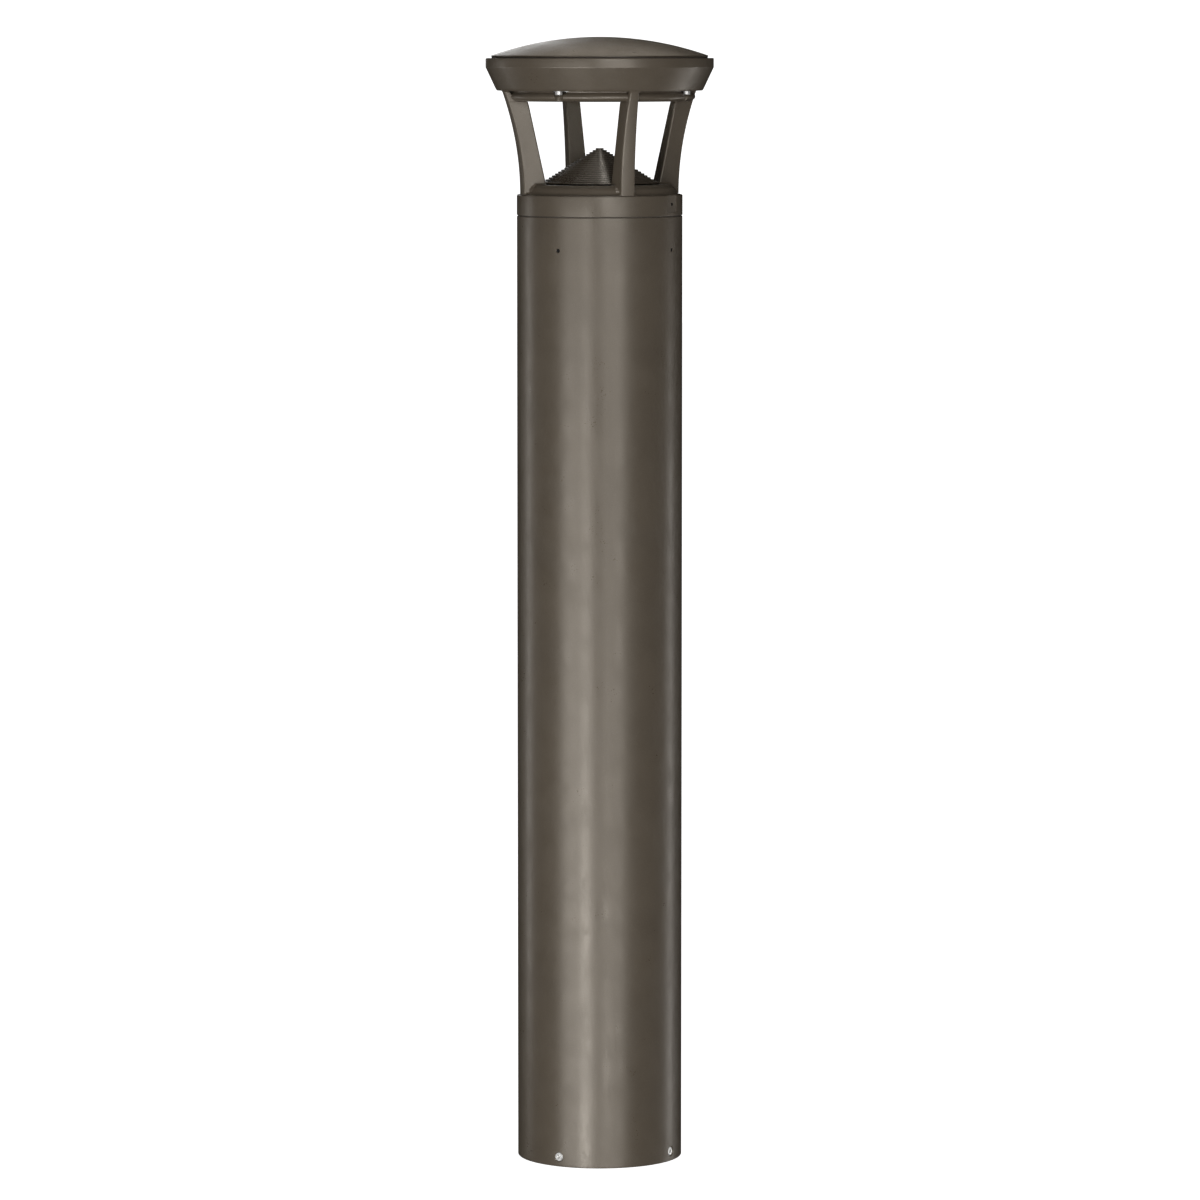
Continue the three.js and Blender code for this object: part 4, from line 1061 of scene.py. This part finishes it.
def build_tray():
    channel = bent_strip([(10, -37), (-1, -37, 1.0), (-1, 37, 1.0), (10, 37)], SHEET)
    tray = prism(channel, 668, 843.7)
    upper = outline([(668.1, -38, 0.3), (873.0, -38, 3), (873.0, 38, 3), (668.1, 38, 0.3)])
    plate = prism(upper, -1.99, -0.01, ZY_ALONG_X)
    fold = bent_strip([(-48, 872.7), (-1, 872.7, 1.0), (-1, 850)], SHEET)
    flange = prism(fold, -30, 30, XZ_ALONG_Y)
    join(tray, [plate, flange])
    tools = [moved(post(2.3, 870, 876), shift(x, y, 0)) for x, y in TRAY_SCREWS]
    tools += [bar([(1.8, -4), (1.8, 5)], height) for height in DRIVER_SCREW_HEIGHTS]
    tools.append(bar([(3.2, -4), (3.2, 3)], STUD_HEIGHT))
    cut(tray, tools)
    look(moved(tray, SPOKE), "driver_tray", "zinc_sheet")
    places = [SPOKE @ shift(x, y, TRAY_TOP - SHEET - GAP) for x, y in TRAY_SCREWS]
    add_screws("tray_screw", places)


def build_driver():
    case = prism(rectangle((0.3, 28), (-24, 24), 2.5), 735, 835)
    bevelled(case, 1.6, 4, 60)
    tabs = prism(rectangle((725, 845), (-9, 9), 3), 0.3, 3.0, ZY_ALONG_X)
    join(case, [tabs])
    seam = prism(rectangle(DRIVER_SCREW_HEIGHTS, (-27, 27)), 20.0, 20.6)
    window = prism(rectangle((735.5, 834.5), (-23.5, 23.5), 2), 18, 22)
    combine(seam, [window], "DIFFERENCE")
    recess = prism(rectangle((752, 818), (-17, 17), 1.5), 27.75, 30, ZY_ALONG_X)
    vents = []
    for row in range(5):
        slot = rectangle((742 + 18.5 * row, 752 + 18.5 * row), (-25, -23.4))
        vents.append(prism(slot, 6, 8, ZY_ALONG_X))
    holes = [bar([(1.8, -4), (1.8, 5)], height) for height in DRIVER_SCREW_HEIGHTS]
    for tools in ([moved(seam, ZY_ALONG_X)], [recess], vents, holes):
        cut(case, tools)
    look(moved(case, SPOKE), "led_driver", "driver_case")
    places = [SPOKE @ shift(3 + GAP, 0, height) @ INWARD for height in DRIVER_SCREW_HEIGHTS]
    add_screws("driver_screw", places)


def build_terminal():
    body = prism(rectangle((0.3, 18), (-17.6, 17.6), 0.8), 684, 706)
    bevelled(body, 0.6, 3, 60)
    gaps = [rectangle((12, 20), (y - 0.35, y + 0.35)) for y in (-5.5, 5.5)]
    cut(body, [prism(gap, 680, 710) for gap in gaps])
    entry = [(0, 683), (2.9, 683), (2.9, 684.1), (2.2, 684.9), (2.2, 694), (0, 694)]
    cut(body, [spun(entry, matrix=shift(10, pole, 0)) for pole in POLES])
    well = [(2.4, 14), (2.4, 17.3), (2.8, 17.9), (2.8, 19)]
    cut(body, [moved(bar(well, CLAMP_HEIGHT), shift(0, pole, 0)) for pole in POLES])
    look(moved(body, SPOKE), "terminal_block", "terminal_body")
    corners = [(0, 14.05), (2.2, 14.05, 0.1), (2.2, 15.6, 0.3), (0, 15.6)]
    for index, pole in enumerate(POLES):
        clamp = turned(corners, matrix=shift(0, pole, CLAMP_HEIGHT) @ LAY)
        slit = rectangle((15.0, 17), (pole - 0.35, pole + 0.35))
        cut(clamp, [prism(slit, 692, 698)])
        present(moved(clamp, SPOKE), f"terminal_clamp_{index + 1}", "head", "bright_steel")


def build_surge():
    body = prism(rectangle((-24, -2.3), (-17, 17), 3), 700, 748)
    bevelled(body, 1.5, 4, 60)
    grooves = []
    for low in range(707, 743, 6):
        for y in ((-18, -16.4), (16.4, 18)):
            grooves.append(prism(rectangle((-20, -6), y), low, low + 2.6))
    cut(body, grooves)
    on_stud = shift(0, 0, STUD_HEIGHT) @ LAY
    stud = threaded([(0, -5), (2.9, -5), (2.9, -2.2)], 2.9, -1.8, 6.4, 0.8, 0.3)
    stud += [(2.3, 7), (0, 7)]
    join(body, [spun(stud, matrix=on_stud)])
    look(moved(body, SPOKE), "surge_protector", "surge_case")
    faces = [(0, 0.3), (5.0, 0.3), (5.5, 0.8), (5.5, 4.0), (5.0, 4.5), (0, 4.5)]
    nut = spun(faces, HEXAGON, on_stud)
    bore = [(3.6, -1), (3.6, 0.4), (3.2, 0.8), (3.2, 4.1), (3.6, 4.4), (3.6, 6)]
    cut(nut, [bar(bore, STUD_HEIGHT)])
    look(moved(nut, SPOKE), "surge_nut", "bright_steel")


# ---------- Leads ----------
def blend(a, b, start, end, t):
    """a at start, b at end."""
    return (end - t) / (end - start) * a + (t - start) / (end - start) * b


def spline(points, steps):
    """Centripetal Catmull-Rom through the points."""
    places = [Vector(p) for p in points]
    places = [2 * places[0] - places[1], *places, 2 * places[-1] - places[-2]]
    found = []
    for p0, p1, p2, p3 in zip(places, places[1:], places[2:], places[3:]):
        times = [0.0]
        for before, after in ((p0, p1), (p1, p2), (p2, p3)):
            times.append(times[-1] + max((after - before).length ** 0.5, 1e-6))
        t0, t1, t2, t3 = times
        for step in range(steps):
            t = t1 + (t2 - t1) * step / steps
            a1, a2 = blend(p0, p1, t0, t1, t), blend(p1, p2, t1, t2, t)
            a3 = blend(p2, p3, t2, t3, t)
            b1, b2 = blend(a1, a2, t0, t2, t), blend(a2, a3, t1, t3, t)
            found.append(blend(b1, b2, t1, t2, t))
    found.append(places[-2])
    return found


def lead(name, route):
    """A round lead along (x, z) points over the spoke."""
    line = spline([(x, 0, z) for x, z in route], 6)
    across = Vector((0, 1, 0))
    sides = 16
    sections = []
    for i, place in enumerate(line):
        way = (line[min(i + 1, len(line) - 1)] - line[max(i - 1, 0)]).normalized()
        up = way.cross(across).normalized()
        ring = []
        for side in range(sides):
            angle = 2 * pi * side / sides
            away = cos(angle) * across + sin(angle) * up
            ring.append(tuple(place + LEAD_RADIUS * away))
        sections.append(ring)
    look(loft(sections, SPOKE), name, "lead_jacket")


def build_leads():
    route = [(51, 995.2), (58, 994.6), (68, 995.6), (74.2, 994.6)]
    route += [(LEAD_REACH, 990.5), (LEAD_REACH, 984)]
    route += [(strut_inner(height) + 3.7, height) for height in (976, 940, 906, 898)]
    route += [(52, 889.5), (38, 887), (22, 884), (14, 872), (14, 850), (14, 835.3)]
    lead("led_lead", route)
    lead("driver_lead", [(20, 734.7), (20, 726), (11, 716), (10, 711), (10, 706.3)])


# ---------- Stage ----------
def area_light(name, azimuth, distance, height, size, power):
    angle = radians(azimuth)
    place = Vector((distance * sin(angle), -distance * cos(angle), height))
    data = bpy.data.lights.new(name, "AREA")
    data.shape = "RECTANGLE"
    data.size, data.size_y = size
    data.energy = power
    obj = linked(name, data)
    obj.location = place
    way = Vector((0, 0, 0.6)) - place
    obj.rotation_euler = way.to_track_quat("-Z", "Y").to_euler()
    obj.visible_camera = False
    return obj


def pale(name, glow):
    """A nearly even grey that glows, so that it shows white."""
    n = Nodes(name)
    n.set(Emission_Color=(1, 1, 1, 1), Emission_Strength=glow)
    colour = n.mix(n.noise(400, 2), (0.5, 0.5, 0.495), (0.53, 0.53, 0.53))
    rough = n.span(n.noise(90, 2), 0.85, 0.95)
    return n.finish(colour, rough, n.bump(n.noise(60, 2), 0.05, 0.2))


# Azimuth, distance, height, size and power of each light, in degrees, metres and watts
SOFTBOXES = {
    "key_low": (-19, 3.0, -0.5, (0.6, 0.9), 23),
    "key_high": (-19, 3.0, 0.5, (0.6, 0.9), 8),
    "key_left": (-42, 3.0, 0.0, (1.1, 1.5), 19),
    "fill_low": (10, 3.0, -0.5, (0.5, 0.9), 10.5),
    "fill_middle": (10, 3.0, 0.5, (0.5, 0.9), 2.5),
    "fill_high": (10, 3.0, 1.5, (0.5, 0.9), 13.5),
    "fill_right": (27, 3.0, 0.4, (0.5, 2.4), 15),
    "left_rim": (-116, 3.0, 0.3, (0.4, 1.4), 5),
    "right_rim": (116, 3.0, -0.2, (0.4, 1.6), 7),
    "right_rim_low": (116, 3.0, -1.4, (0.4, 0.9), 4),
    "top": (0, 0.01, 3.6, (2.4, 2.4), 12),
    "back_top": (180, 2.2, 3.2, (1.6, 1.6), 8),
    "back": (190, 3.0, 1.6, (0.8, 1.2), 6),
}
WARM_LIGHTS = ("top", "back_top")
WARM = (1.0, 0.91, 0.79)
WORLD_STRENGTH = 0.28
STAGE_RADIUS = 16000.0
STAGE_DROP = -60.0  # foot of the backdrop, below the floor


def build_stage():
    scene = bpy.context.scene
    scene.view_settings.view_transform = "Standard"
    scene.view_settings.look = "None"

    world = bpy.data.worlds.new("surroundings")
    world.use_nodes = True
    background = world.node_tree.nodes["Background"]
    background.inputs["Color"].default_value = (1.0, 1.0, 1.0, 1.0)
    background.inputs["Strength"].default_value = WORLD_STRENGTH
    scene.world = world
    world.cycles_visibility.glossy = False

    top, foot = -0.4, -50
    flat = [(0, top), (500, top), (STAGE_RADIUS, top), (STAGE_RADIUS, foot), (0, foot)]
    shell = [(0.0, STAGE_DROP)]
    for step in range(24):
        angle = pi / 2 * step / 24
        height = STAGE_DROP + STAGE_RADIUS * sin(angle)
        shell.append((STAGE_RADIUS * cos(angle), height))
    shell.append((0.0, STAGE_DROP + STAGE_RADIUS))
    for name, points, glow in (("floor", flat, 1.0), ("backdrop", shell, 1.1)):
        item = spun(points, MEDIUM)
        item.name = item.data.name = name
        item.data.materials.append(pale("pale_" + name, glow))
        item.visible_glossy = False
        item.visible_diffuse = False
        item.visible_shadow = False

    for name, values in SOFTBOXES.items():
        box = area_light(name, *values)
        if name in WARM_LIGHTS:
            box.data.color = WARM

    # Fitted to the ellipses of the tube, the collar and the skirt
    camera_data = bpy.data.cameras.new("camera")
    camera_data.lens = 175.64
    camera_data.sensor_width = 36
    camera_data.clip_end = 100
    camera = linked("camera", camera_data)
    camera.location = (0.0003, -5.4, 1.0388)
    camera.rotation_euler = (radians(84.507), 0, 0)
    scene.camera = camera


build_stage()
build_shaft()
build_collar()
build_cage()
build_cone()
build_pan()
build_light_engine()
build_lid()
build_tray()
build_driver()
build_terminal()
build_surge()
build_leads()
